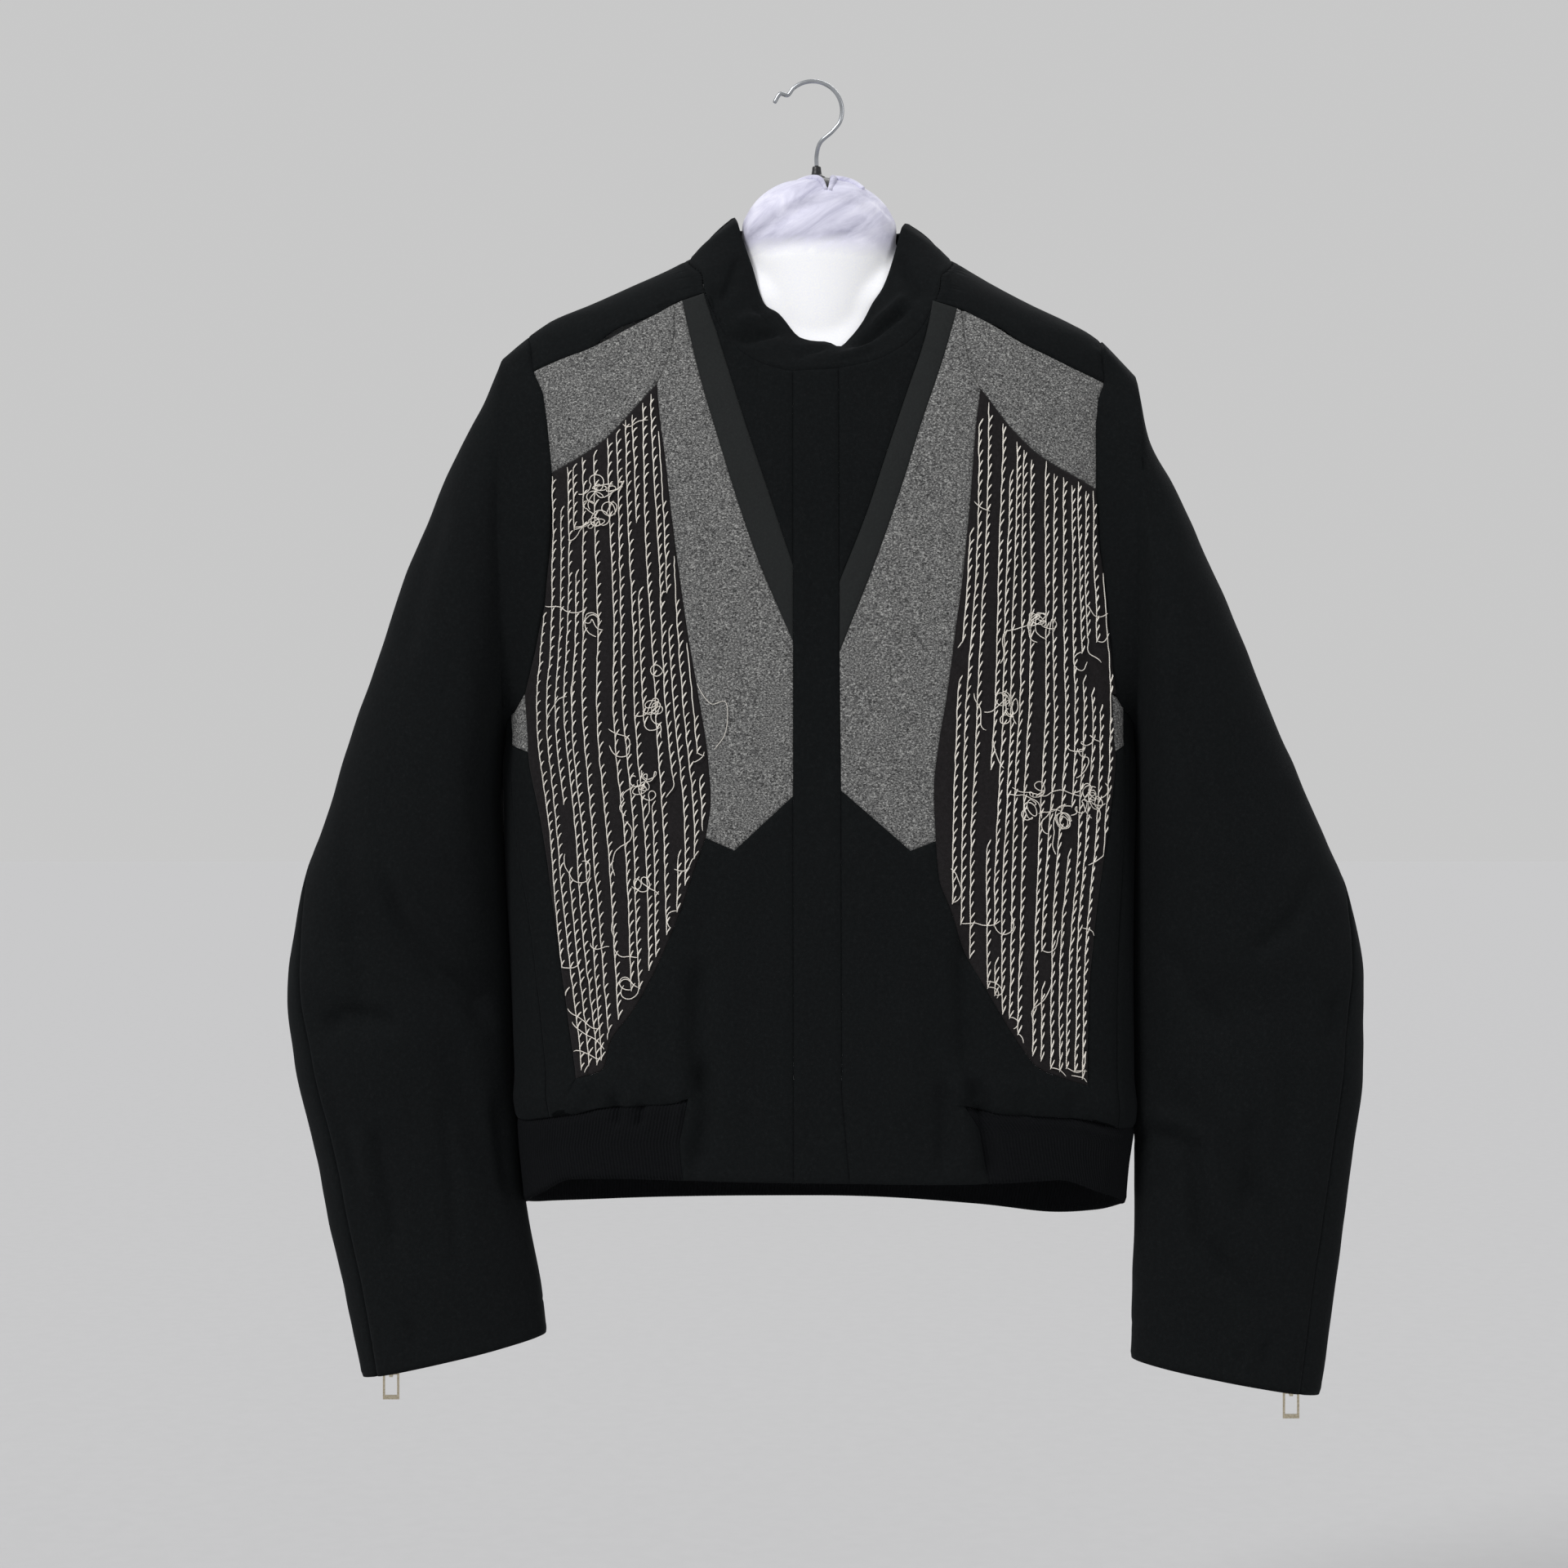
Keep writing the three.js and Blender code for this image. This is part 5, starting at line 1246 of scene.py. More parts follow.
def sleeve_sheet(name, side, turns, columns_, rows_=200):
    """One sleeve piece between two seam turns, as a grid of points."""
    table = columns(SLEEVE_ROWS_LEFT if side == "L" else SLEEVE_ROWS_RIGHT)
    row = np.linspace(0, CUFF_ROW, rows_)
    seam = smooth(np.arange(1, CUFF_ROW + 1), table[6], np.maximum(1, row))
    start, stop = turns(seam)
    u = np.linspace(0, 1, columns_)
    ease = u + 0.012 * np.sin(2 * np.pi * u)
    deg = start[:, None] + (stop - start)[:, None] * ease
    rows = row[:, None] * np.ones(columns_)
    size = np.linalg.norm(sleeve_point(side, rows, deg + 1) - sleeve_point(side, rows, deg - 1), axis=-1) / 2
    size = np.maximum(size, 0.2)
    deg = deg + (0.03 / size) * (1 - 2 * u)
    cloth, normal = sleeve_cloth(side, rows, deg)
    girth = np.cumsum(np.linalg.norm(np.diff(cloth, axis=1, prepend=cloth[:, :1]), axis=-1), axis=1)
    length = np.cumsum(np.linalg.norm(np.diff(cloth, axis=0, prepend=cloth[:1]), axis=-1), axis=0)
    from_edge = np.minimum(girth, girth[:, -1:] - girth)
    roll = edge_roll(from_edge, 1.0, 1.7) + edge_roll(np.maximum(0, length[-1:] - length), 0.5, 1.6)
    roll += 0.9 * np.exp(-((length[-1:] - length - 24) / 1.0) ** 2) * -0.5
    cloth = cloth + normal * roll[..., None]
    sign = -1 if side == "L" else 1
    tuck = cloth[0] - normal[0] * 4.2 + np.array([-sign * 3.6, 0, 0])
    cloth = np.concatenate([tuck[None], cloth])
    normal = np.concatenate([normal[:1], normal])
    girth = np.concatenate([girth[:1], girth])
    length = np.concatenate([length[:1] - 3.2, length])
    rows_ += 1
    points, flat_normals = cloth.reshape(-1, 3), normal.reshape(-1, 3)
    faces = outward(points, grid_triangles(rows_, columns_), flat_normals)
    uv = np.stack([girth.ravel(), length.ravel()], axis=1)
    obj = new_mesh(name + "_cloth", points, faces, uv)
    thicken(obj, WALL)
    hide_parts(name)
    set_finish(obj, BLACK)
    declare_sheet(obj, (girth[:, -1].max(), length[-1].max()), [])
    print(name, len(faces), "triangles")
    return obj


# %% [markdown]
# The top sleeve runs over the outside of the arm, from seam to seam. The under sleeve closes the
# rest of the tube, beside the body.

# %% Sleeves
for side in ("L", "R"):
    sleeve_sheet("top_sleeve_" + side, side,
                 lambda seam: (seam, np.full_like(seam, INNER_SEAM)), 76)
    sleeve_sheet("under_sleeve_" + side, side,
                 lambda seam: (np.full_like(seam, INNER_SEAM), seam + 360), 50)

# %% [markdown]
# ## Smooth lines and tubes
# The hook's wire, the slit's rim and the zip's coil are round tubes swept along a smooth line.

# %% Smooth lines and tubes
def catmull(points, per=12):
    """Dense centripetal line through the points."""
    p = np.array(points, float)
    p = np.vstack([2 * p[0] - p[1], p, 2 * p[-1] - p[-2]])
    out = []
    for i in range(1, len(p) - 2):
        k = [0.0]
        for j in range(3):
            k.append(k[-1] + math.dist(p[i - 1 + j], p[i + j]) ** 0.5)
        for t in np.linspace(k[1], k[2], per, endpoint=False):
            a = [(k[j + 1] - t) / (k[j + 1] - k[j]) * p[i - 1 + j] + (t - k[j]) / (k[j + 1] - k[j]) * p[i + j]
                 for j in range(3)]
            b = [(k[j + 2] - t) / (k[j + 2] - k[j]) * a[j] + (t - k[j]) / (k[j + 2] - k[j]) * a[j + 1]
                 for j in range(2)]
            out.append((k[2] - t) / (k[2] - k[1]) * b[0] + (t - k[1]) / (k[2] - k[1]) * b[1])
    out.append(p[-2])
    return np.array(out)


def tube(line, radius, sides=16):
    """Round tube along one line, its frame carried along without twist."""
    line = np.asarray(line, float)
    tangent = np.gradient(line, axis=0)
    tangent /= np.linalg.norm(tangent, axis=1)[:, None]
    up = np.array([0, 1.0, 0]) if abs(tangent[0][1]) < 0.9 else np.array([1.0, 0, 0])
    pts, faces = [], []
    radius = np.broadcast_to(radius, len(line))
    for i, (p, t) in enumerate(zip(line, tangent)):
        up = up - t * np.dot(up, t)
        up /= np.linalg.norm(up)
        side = np.cross(t, up)
        for k in range(sides):
            a = 2 * math.pi * k / sides
            pts.append(p + (up * math.cos(a) + side * math.sin(a)) * radius[i])
        if i:
            for k in range(sides):
                a, b = (i - 1) * sides + k, (i - 1) * sides + (k + 1) % sides
                faces.append((a, b, b + sides, a + sides))
    last = (len(line) - 1) * sides
    faces.append(tuple(range(sides))[::-1])
    faces.append(tuple(last + k for k in range(sides)))
    return np.array(pts), faces


print("lines and tubes ready")

# %% [markdown]
# ## Torso form, fitting and hook
# The form is a smooth covered body with a domed neck. Its two halves, neck and chest, are joined by
# a Remesh modifier, which melts them into one skin the way a moulded form is one skin.

# %% Form
# height, half width left and right, depth to front and back of the neck
FORM_NECK_ROWS = [
    (-69, 10, 10, 2, 18), (-71, 22, 22, 14, 29), (-76, 33, 35, 25, 41), (-84, 43, 46, 32, 49),
    (-94, 50, 53.5, 34, 52), (-103, 53.5, 57, 35, 52), (-115, 53, 56.5, 36, 52), (-145, 50, 54, 37, 52),
    (-190, 49, 53, 39.5, 52), (-225, 49, 53, 44, 52),
]
# the same for the chest of the form
FORM_ROWS = [
    (-121, 46, 48, 6, 44), (-127, 60, 62, 12, 50), (-136, 76, 78, 18, 54), (-148, 108, 106, 26, 60),
    (-162, 138, 130, 32, 64), (-176, 164, 156, 34, 67), (-190, 180, 178, 39, 69),
    (-206, 186, 188, 48, 71), (-240, 186, 190, 64, 75), (-300, 180, 188, 72, 78),
    (-380, 178, 186, 75, 78), (-480, 178, 186, 74, 74), (-600, 180, 190, 72, 70),
    (-690, 182, 192, 71, 67), (-712, 174, 184, 64, 60),
]
FORM_LIFT = 6.0


def stack(rows, squareness, around, foot, crown, step=4.0):
    """Closed body from a table of level sections."""
    table = columns(rows)
    count = max(4, round((table[0][0] - table[0][-1]) / step))
    heights = np.linspace(table[0][0], table[0][-1], count)
    deg = np.linspace(-180, 180, around, endpoint=False)
    pts = []
    for z in heights:
        c, s = np.cos(np.radians(deg)), np.sin(np.radians(deg))
        w = np.where(c < 0, smooth(table[0], table[1], z), smooth(table[0], table[2], z))
        d = np.where(s < 0, smooth(table[0], table[3], z), smooth(table[0], table[4], z))
        pts.append(np.stack([w * np.sign(c) * np.abs(c) ** (2 / squareness),
                             d * np.sign(s) * np.abs(s) ** (2 / squareness), np.full(around, z)], axis=1))
    pts = np.vstack(pts + [np.array([crown, foot])])
    a = np.arange(count - 1)[:, None] * around + np.arange(around)
    b = np.arange(count - 1)[:, None] * around + (np.arange(around) + 1) % around
    faces = [tuple(q) for q in np.stack([a, a + around, b + around, b], axis=-1).reshape(-1, 4)]
    last = (count - 1) * around
    top, low = count * around, count * around + 1
    faces += [(top, i, (i + 1) % around) for i in range(around)]
    faces += [(last + i, low, last + (i + 1) % around) for i in range(around)]
    return pts, faces


# Folds of the cover, drawn as lines on the front view: width, depth, then the points
COVER_LINES = [
    (2.6, -2.6, (-54, -116), (-36, -101), (-16, -90), (5, -84)),
    (3.0, 2.6, (-52, -122), (-32, -107), (-10, -95), (8, -89)),
    (2.6, 1.8, (-48, -103), (-32, -90), (-14, -80), (-4, -77)),
    (2.4, -1.4, (-50, -108), (-34, -94), (-18, -84)),
    (2.6, -2.2, (9, -84), (24, -84), (44, -96), (56, -109)),
    (3.0, 2.2, (12, -90), (30, -92), (46, -105), (56, -117)),
    (4.5, 2.2, (-44, -123), (-20, -119), (12, -116), (30, -118)),
    (3.4, 1.5, (22, -112), (38, -116), (54, -126)),
    (2.6, 1.6, (30, -82), (44, -90), (54, -101)),
]
neck_points, neck_faces = stack(FORM_NECK_ROWS, 2.0, 240, (0, 4, -226), (0, 8, -68.4), 1.5)
fold = along_lines(neck_points[:, 0], neck_points[:, 2], COVER_LINES) * (neck_points[:, 1] < 2)
turned = neck_points[:, :2] / np.maximum(np.linalg.norm(neck_points[:, :2], axis=1), 1)[:, None]
neck_points[:, :2] -= turned * fold[:, None] * 0.8
neck_points[:, 2] -= fold * 0.5
chest_points, chest_faces = stack(FORM_ROWS, 2.25, 180, (5, 0, -716), (0, 20, -120), 6.0)
chest_points[:, 2] += FORM_LIFT
joined = np.vstack([neck_points, chest_points])
chest_faces = [tuple(i + len(neck_points) for i in face) for face in chest_faces]
form = new_mesh("torso_form_cover", joined, neck_faces + chest_faces)
melt = form.modifiers.new("one_skin", "REMESH")
melt.mode = "VOXEL"
melt.voxel_size = 2.9 * MM
melt.use_smooth_shade = True
soften = form.modifiers.new("soften", "SMOOTH")
soften.factor = 0.5
soften.iterations = 2
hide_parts("torso_form")
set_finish(form, "form_cover")
print("form rows", len(FORM_NECK_ROWS) + len(FORM_ROWS))

# %% [markdown]
# The cover is slit at the top to let the hook through. The edges of the slit are turned under, which
# leaves a small soft roll on each side of it, lying on the dome. Between the rolls a dark sheet lies on
# the dome: partly the black fitting's base seen through the slit, partly painted shade of the opening.

# %% Slit in the cover
def dome_height(x, y):
    """Height of the neck dome at a place in plan."""
    table = columns(FORM_NECK_ROWS)
    low, high = -110.0, -68.6
    for _ in range(30):
        z = (low + high) / 2
        w = float(smooth(table[0], table[1 if x < 0 else 2], z))
        d = float(smooth(table[0], table[3 if y < 0 else 4], z))
        low, high = (z, high) if (x / w) ** 2 + (y / d) ** 2 < 1 else (low, z)
    return low


SLIT_EDGES = {
    "left": (2.4, [(-15, 7), (-9, 3), (-6, -3), (-2, -11), (2.4, -21), (6, -31)]),
    "right": (2.6, [(8.6, -31), (11, -21), (11.5, -11), (13, -4), (19, -6), (26, -11), (33, -16)]),
}
slit_lines = {}
for name, (radius, plan) in SLIT_EDGES.items():
    line = catmull([(x, y, dome_height(x, y) + 0.2 * radius) for x, y in plan], 8)
    slit_lines[name] = line
    thick = radius * np.sin(np.pi * np.linspace(0.12, 0.9, len(line))) ** 0.5
    lip = new_mesh("cover_slit_" + name, *tube(line, thick, 14))
    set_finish(lip, "form_cover")
# Between the two rims a thin dark sheet lies on the dome, in the fitting's black plastic: partly the
# fitting's base seen through the slit, partly painted shade of the opening.
inner = np.linspace(0, 1, 20)
rims = [np.stack([np.interp(inner, np.linspace(0, 1, len(part)), part[:, k]) for k in range(3)], axis=1)
        for part in (slit_lines["left"][9:], slit_lines["right"][:24][::-1])]
dark_points = np.vstack([rims[0] + (rims[1] - rims[0]) * t for t in np.linspace(0, 1, 9)])
dark_points[:, 2] = [dome_height(x, y) + 0.9 for x, y, _ in dark_points]
slit_inside = new_mesh("cover_slit_inside", dark_points, grid_faces(9, 20), dark_points[:, :2])
thicken(slit_inside, 0.6)
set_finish(slit_inside, "fitting_plastic")

# %% [markdown]
# ## Hook and fitting
# The hook is one bent wire, so it is a curve with a round section. The fitting at its foot is a
# small turned cap: a profile spun about the neck's axis.

# %% Hook and fitting
HOOK_LINE = [(0, 8, -57.4), (0, 6, -50), (2.5, 2, -42), (11.5, 0, -34)]
HOOK_LINE += [(-3 + 21.1 * math.cos(math.radians(d)), 0, -19.6 + 21.1 * math.sin(math.radians(d)))
              for d in range(-22, 149, 17)]
HOOK_LINE += [(-26, 0, -7.5), (-30.4, 0, -14)]


wire_line = catmull(HOOK_LINE)
wire_radius = np.full(len(wire_line), 1.5)
wire_radius[-2:] = (1.45, 1.1)
hook = new_mesh("hook_wire_bend", *tube(wire_line, wire_radius, 20))
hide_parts("hook")
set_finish(hook, "hook_wire")
CAP = [(0, -68), (6.0, -68), (6.4, -67.6), (6.4, -65.8), (6.1, -65.3), (4.4, -64.3), (3.7, -63.3), (3.3, -61),
       (3.1, -58.4), (2.8, -58), (0, -58)]
around = 40
cap_points = [(r * math.cos(2 * math.pi * k / around), 8 + r * math.sin(2 * math.pi * k / around), z)
              for r, z in CAP for k in range(around)]
cap_faces = [(j * around + k, j * around + (k + 1) % around, (j + 1) * around + (k + 1) % around,
              (j + 1) * around + k) for j in range(len(CAP) - 1) for k in range(around)]
fitting = new_mesh("hook_fitting_cap", cap_points, cap_faces)
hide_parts("hook_fitting")
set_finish(fitting, "fitting_plastic")
print("hook", len(wire_line), "stations")

# %% [markdown]
# ## Cuff zips
# Inside each cuff sits a short zip. Its tape lies on the sleeve's inner face, the coil is a row of
# small teeth, and the slider and its open pull keep the CAD shape with softened edges.

# %% Cuff zips
for side in ("L", "R"):
    rows = np.linspace(CUFF_ROW - 1.6, CUFF_ROW - 0.22, 40)[:, None] * np.ones(13)
    turns = ZIP_TURN + np.linspace(-8, 8, 13) * np.ones(40)[:, None]
    tape = sleeve_point(side, rows, turns, 2.0 + 1.07)
    inner = sleeve_point(side, rows, turns, 2.0 + 2.27)
    flat_tape = tape.reshape(-1, 3)
    face_out = tape.reshape(-1, 3) - inner.reshape(-1, 3)
    face_out /= np.linalg.norm(face_out, axis=1)[:, None]
    tape_obj = new_mesh("zip_tape_" + side + "_woven", flat_tape,
                        outward(flat_tape, grid_triangles(40, 13), face_out),
                        np.stack([turns.ravel(), rows.ravel() * 30], axis=1))
    thicken(tape_obj, 0.7)
    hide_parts("zip_tape_" + side)
    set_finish(tape_obj, "zip_tape")
    middle = inner[:, 6]
    lay = face_out.reshape(40, 13, 3)[:, 6]
    run = np.concatenate([[0], np.cumsum(np.linalg.norm(np.diff(middle, axis=0), axis=1))])
    turn_points = []
    count = int(run[-1] / 1.4)
    for k in range(count * 8):
        at = run[-1] * k / (count * 8)
        p = np.array([np.interp(at, run, middle[:, a]) for a in range(3)])
        n = np.array([np.interp(at, run, lay[:, a]) for a in range(3)])
        d = (middle[-1] - middle[0]) / np.linalg.norm(middle[-1] - middle[0])
        across = np.cross(n, d)
        angle = 2 * math.pi * k / 8
        turn_points.append(p + across * 1.5 * math.cos(angle) + n * (0.25 * math.sin(angle) + 0.25))
    coil = new_mesh("zip_coil_" + side, *tube(turn_points, 0.28, 6))
    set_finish(coil, "zip_tape")
    wide = float(np.linalg.norm(np.diff(tape[20], axis=0), axis=1).sum())
    declare_sheet(tape_obj, (wide, run[-1]), ["top_sleeve_" + side])
for name in ("zip_slider_L", "zip_slider_R", "zip_pull_L", "zip_pull_R"):
    part = frame["nodes"][name]
    bevel = part.modifiers.new("softened_edges", "BEVEL")
    bevel.width = 0.35 * MM
    bevel.segments = 3
    bevel.limit_method = "ANGLE"
    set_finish(part, "zip_metal")
print("zips done")

# %% [markdown]
# ## Embroidery
# The front panels are covered in rows of raised stitching: a thread runs down each row and short
# slanted stitches stand off it. Every thread is a small tube laid on the cloth, and all the threads
# of a panel are one joined mesh.

# %% Threads on the cloth
THREAD = 0.40


def threads(name, lines, radii, sides=5):
    """Joined tubes that lie on the cloth; a line is a list of (s, z, height above the cloth)."""
    flat = np.array([p for line in lines for p in line], float)
    cloth, normal = body_cloth(flat[:, 0], flat[:, 1])
    centre = cloth + normal * flat[:, 2:3]
    pts, faces, uv, start = [], [], [], 0
    base = 0
    for line, radius in zip(lines, radii):
        n = len(line)
        c, m = centre[start:start + n], normal[start:start + n]
        t = np.gradient(c, axis=0)
        t /= np.maximum(np.linalg.norm(t, axis=1), 1e-9)[:, None]
        b = np.cross(t, m)
        b /= np.maximum(np.linalg.norm(b, axis=1), 1e-9)[:, None]
        m = np.cross(b, t)
        r = np.full(n, radius)
        r[0] *= 0.55
        r[-1] *= 0.55
        a = 2 * math.pi * np.arange(sides) / sides
        round_ = b[:, None] * np.cos(a)[:, None] + m[:, None] * np.sin(a)[:, None]
        ring = c[:, None] + round_ * r[:, None, None]
        pts.append(ring.reshape(-1, 3))
        run = np.concatenate([[0], np.cumsum(np.linalg.norm(np.diff(c, axis=0), axis=1))])
        uv.append(np.stack([np.tile(np.arange(sides) / sides * 3.2, n), np.repeat(run, sides)], axis=1))
        i = np.arange(n - 1)[:, None] * sides + base
        k = np.arange(sides)
        quad = np.stack([i + k, i + (k + 1) % sides, i + sides + (k + 1) % sides, i + sides + k], axis=-1)
        faces.extend(map(tuple, quad.reshape(-1, 4)))
        base += n * sides
        start += n
    obj = new_mesh(name, np.vstack(pts), faces, np.vstack(uv))
    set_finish(obj, GROUND)
    return obj


def panel_outline(side):
    q = lambda name: SEAM[name + side]
    patch_end, panel_top = SEAMS["patchEnd" + side][-1], SEAMS["panelSide" + side][0]
    return shrink(tidy_loop(q("patchEnd") + arm_front(side, patch_end[1], panel_top[1])
                            + q("panelSide") + rev(q("panelEnd")) + rev(q("lapel"))), 1.4)


print("thread", 2 * THREAD, "mm thick")

# %% [markdown]
# ## Rows of stitches
# The rows follow the panel's slant and wander a little. Each one has its own spacing, breaks off
# here and there, and carries short barbs that rise to one side.

# %% Rows of stitches
# Guides of the rows: at each height, x of the row nearest the side and of the row nearest the lapel
ROW_GUIDES = {
    "L": [(-150, -197, -95), (-230, -198, -94), (-300, -196, -91), (-380, -197, -86), (-450, -202, -79),
          (-540, -193, -73), (-620, -184, -75), (-720, -171, -78)],
    "R": [(-150, 200, 98), (-230, 200, 97), (-300, 199, 95), (-380, 202, 90), (-450, 205, 84),
          (-540, 201, 80), (-620, 194, 82), (-720, 190, 84)],
}
ROW_SPACING = (5.2, 8.4)
STITCH_PITCH = 6.9
BARB = (2.6, 5.0)


def row_x(side, share, z):
    height, outer, inner = columns(ROW_GUIDES[side])
    low, high = smooth(height, outer, z), smooth(height, inner, z)
    return float(low + (high - low) * share)


def stitch_rows(side, seed):
    """Rows of barbed stitches over one panel, with the places where rows stop and start again."""
    rnd = random.Random(seed)
    loop = panel_outline(side)
    lines, radii, ends = [], [], []
    width = abs(row_x(side, 1, -450) - row_x(side, 0, -450))
    at = -rnd.uniform(4, 8)
    while at < width + 14:
        share = at / width
        at += rnd.uniform(*ROW_SPACING) if rnd.random() > 0.12 else rnd.uniform(9.5, 12.5)
        phase, wobble = rnd.uniform(0, 6.28), rnd.uniform(0.3, 0.8)
        gaps = [(g, g - rnd.uniform(14, 46)) for g in (rnd.uniform(-660, -230) for _ in range(2))
                if rnd.random() < 0.45]
        z = -150 - rnd.uniform(0, STITCH_PITCH)
        spine = []
        while z > -720:
            x = row_x(side, share, z) + wobble * math.sin(z / 31 + phase) + rnd.uniform(-0.25, 0.25)
            spine.append((*chart(x, z), not any(b < z < a for a, b in gaps)))
            z -= STITCH_PITCH * rnd.uniform(0.9, 1.1)
        ok = inside(np.array([p[:2] for p in spine]), loop)
        tip_ok = inside(np.array([(p[0] + BARB[0], p[1] + BARB[1] + 1) for p in spine]), loop)
        run = []
        for (sx, sz, sewn), good, tip in zip(spine, ok, tip_ok):
            if good and sewn:
                if run:
                    px, pz = run[-1][:2]
                    run.append(((sx + px) / 2 + rnd.uniform(-0.25, 0.25), (sz + pz) / 2, 0.42))
                run.append((sx, sz, 0.55))
                if tip:
                    dx, dz = BARB[0] * rnd.uniform(0.75, 1.2), BARB[1] * rnd.uniform(0.8, 1.15)
                    lines.append([(sx - 0.1, sz - 1.0, 0.2), (sx + dx * 0.22, sz + dz * 0.3, 1.1),
                                  (sx + dx * 0.7, sz + dz * 0.75, 1.0), (sx + dx, sz + dz, 0.2)])
                    radii.append(THREAD * rnd.uniform(1.0, 1.3))
            else:
                if len(run) > 2:
                    lines.append(run)
                    radii.append(THREAD * 0.95)
                    ends.append(run[-1])
                run = []
        if len(run) > 2:
            lines.append(run)
            radii.append(THREAD * 0.95)
            ends.append(run[-1])
    return lines, radii, ends


print("rows", ROW_SPACING[0], "to", ROW_SPACING[1], "mm apart")

# %% [markdown]
# ## Loose threads
# Some rows end in a loose thread, and other ends cross the rows or lie tangled on them.

# %% Loose threads
def loose_threads(side, ends, seed):
    """Loose ends, crossings and tangles of the same yarn, left hanging over the rows."""
    rnd = random.Random(seed)
    loop = panel_outline(side)
    low, high = loop.min(0), loop.max(0)
    lines, radii = [], []

    def wander(s, z, angle, steps, stride=1.9, height=1.4):
        """A thread end that meanders: its turning itself drifts, so it waves and sometimes loops."""
        path, turning = [], rnd.uniform(-0.15, 0.15)
        for k in range(steps):
            path.append((s, z, 0.5 if k == 0 else height + 0.6 * math.sin(k * 0.7)))
            turning = 0.86 * turning + rnd.gauss(0, 0.13)
            angle += turning
            s += stride * math.cos(angle)
            z += stride * math.sin(angle)
        return path

    starts = [(*p[:2], rnd.randint(7, 18)) for p in ends if rnd.random() < 0.8]
    while len(starts) < 34:
        p = (rnd.uniform(low[0], high[0]), rnd.uniform(low[1], high[1]))
        if inside(np.array([p]), loop)[0]:
            starts.append((*p, rnd.randint(9, 30)))
    for s, z, steps in starts:
        path = wander(s, z, rnd.choice((-1.6, -0.3, -2.8)) + rnd.uniform(-0.5, 0.5), steps)
        keep = inside(np.array([p[:2] for p in path]), loop)
        path = path[:int(np.argmin(keep))] if not keep.all() else path
        if len(path) > 3:
            lines.append(path)
            radii.append(THREAD * 0.8)
    for _ in range(6):
        for _ in range(50):
            s, z = rnd.uniform(low[0], high[0]), rnd.uniform(low[1] + 60, high[1] - 40)
            box_ = np.array([(s + a, z + b) for a in (-17, 17) for b in (-10, 10)])
            if inside(box_, loop).all():
                break
        else:
            continue
        for _ in range(rnd.randint(1, 4)):
            path, a = [], rnd.uniform(0, 6.28)
            wide, tall, lean = rnd.uniform(3, 9), rnd.uniform(2, 6), rnd.uniform(-0.7, 0.7)
            drift = [rnd.uniform(-0.55, 0.55), rnd.uniform(-0.35, 0.35)]
            cs, cz = s + rnd.uniform(-4, 4), z + rnd.uniform(-3, 3)
            for k in range(rnd.randint(14, 34)):
                a += rnd.uniform(0.28, 0.62)
                cs, cz = cs + drift[0], cz + drift[1]
                grow = 0.75 + 0.35 * math.sin(a * 0.37 + wide)
                x_, y_ = wide * grow * math.cos(a), tall * grow * math.sin(a)
                path.append((cs + x_ * math.cos(lean) - y_ * math.sin(lean),
                             cz + x_ * math.sin(lean) + y_ * math.cos(lean),
                             1.3 + 0.8 * math.sin(k * 0.7 + a)))
            tail = wander(path[-1][0], path[-1][1], rnd.uniform(-2.6, -0.5), rnd.randint(5, 12))
            path = [tuple(p) for p in catmull(path + tail[1:], 3)]
            lines.append(path)
            radii.append(THREAD * 0.8)
    return lines, radii


for side, seed in (("L", 31), ("R", 47)):
    rows_, radii_, ends_ = stitch_rows(side, seed)
    loose_, loose_radii = loose_threads(side, ends_, seed + 1)
    work = threads("embroidery_" + side, rows_ + loose_, radii_ + loose_radii)
    print("embroidery", side, len(rows_), "stitches,", len(work.data.polygons) * 2, "triangles")

# One long end has crept out over the left lapel, as it has on the real jacket.
LAPEL_END = [(-83, -432), (-80, -438), (-73, -446), (-64, -444), (-62, -452), (-64, -467), (-71, -477)]
stray = catmull([(*chart(x, z), 0.9) for x, z in LAPEL_END], 5)
lapel_thread = threads("embroidery_loose_end", [[tuple(p) for p in stray]], [THREAD * 0.55])

# %% [markdown]
# ## Materials
# Colours are written as they look on a screen, in hex, and one function turns them into the linear
# values that a renderer adds up. One more function adds a node with its settings and its links.

# %% Material helpers
def linear(code):
    """Linear colour from an sRGB hex code."""
    channel = [int(code[i:i + 2], 16) / 255 for i in (1, 3, 5)]
    return (*[c / 12.92 if c <= 0.04045 else ((c + 0.055) / 1.055) ** 2.4 for c in channel], 1.0)


def add(tree, kind, settings=None, **inputs):
    """A node with its settings, its values and its links."""
    node = tree.nodes.new(kind)
    for key, value in (settings or {}).items():
        setattr(node, key, value)
    for key, value in inputs.items():
        by_number = key[0] == "i" and key[1:].isdigit()
        socket = node.inputs[int(key[1:]) if by_number else key.replace("_", " ")]
        if isinstance(value, bpy.types.NodeSocket):
            tree.links.new(value, socket)
        else:
            socket.default_value = value
    return node


def ramp(tree, fac, stops):
    """Colour ramp from (place, hex) stops."""
    node = add(tree, "ShaderNodeValToRGB", Fac=fac)
    band = node.color_ramp
    while len(band.elements) < len(stops):
        band.elements.new(0.5)
    for element, (place, code) in zip(band.elements, stops):
        element.position = place
        element.color = linear(code)
    return node.outputs["Color"]


def material(name):
    mat = bpy.data.materials.new(name)
    mat.use_nodes = True
    mat.node_tree.nodes.clear()
    return mat, mat.node_tree


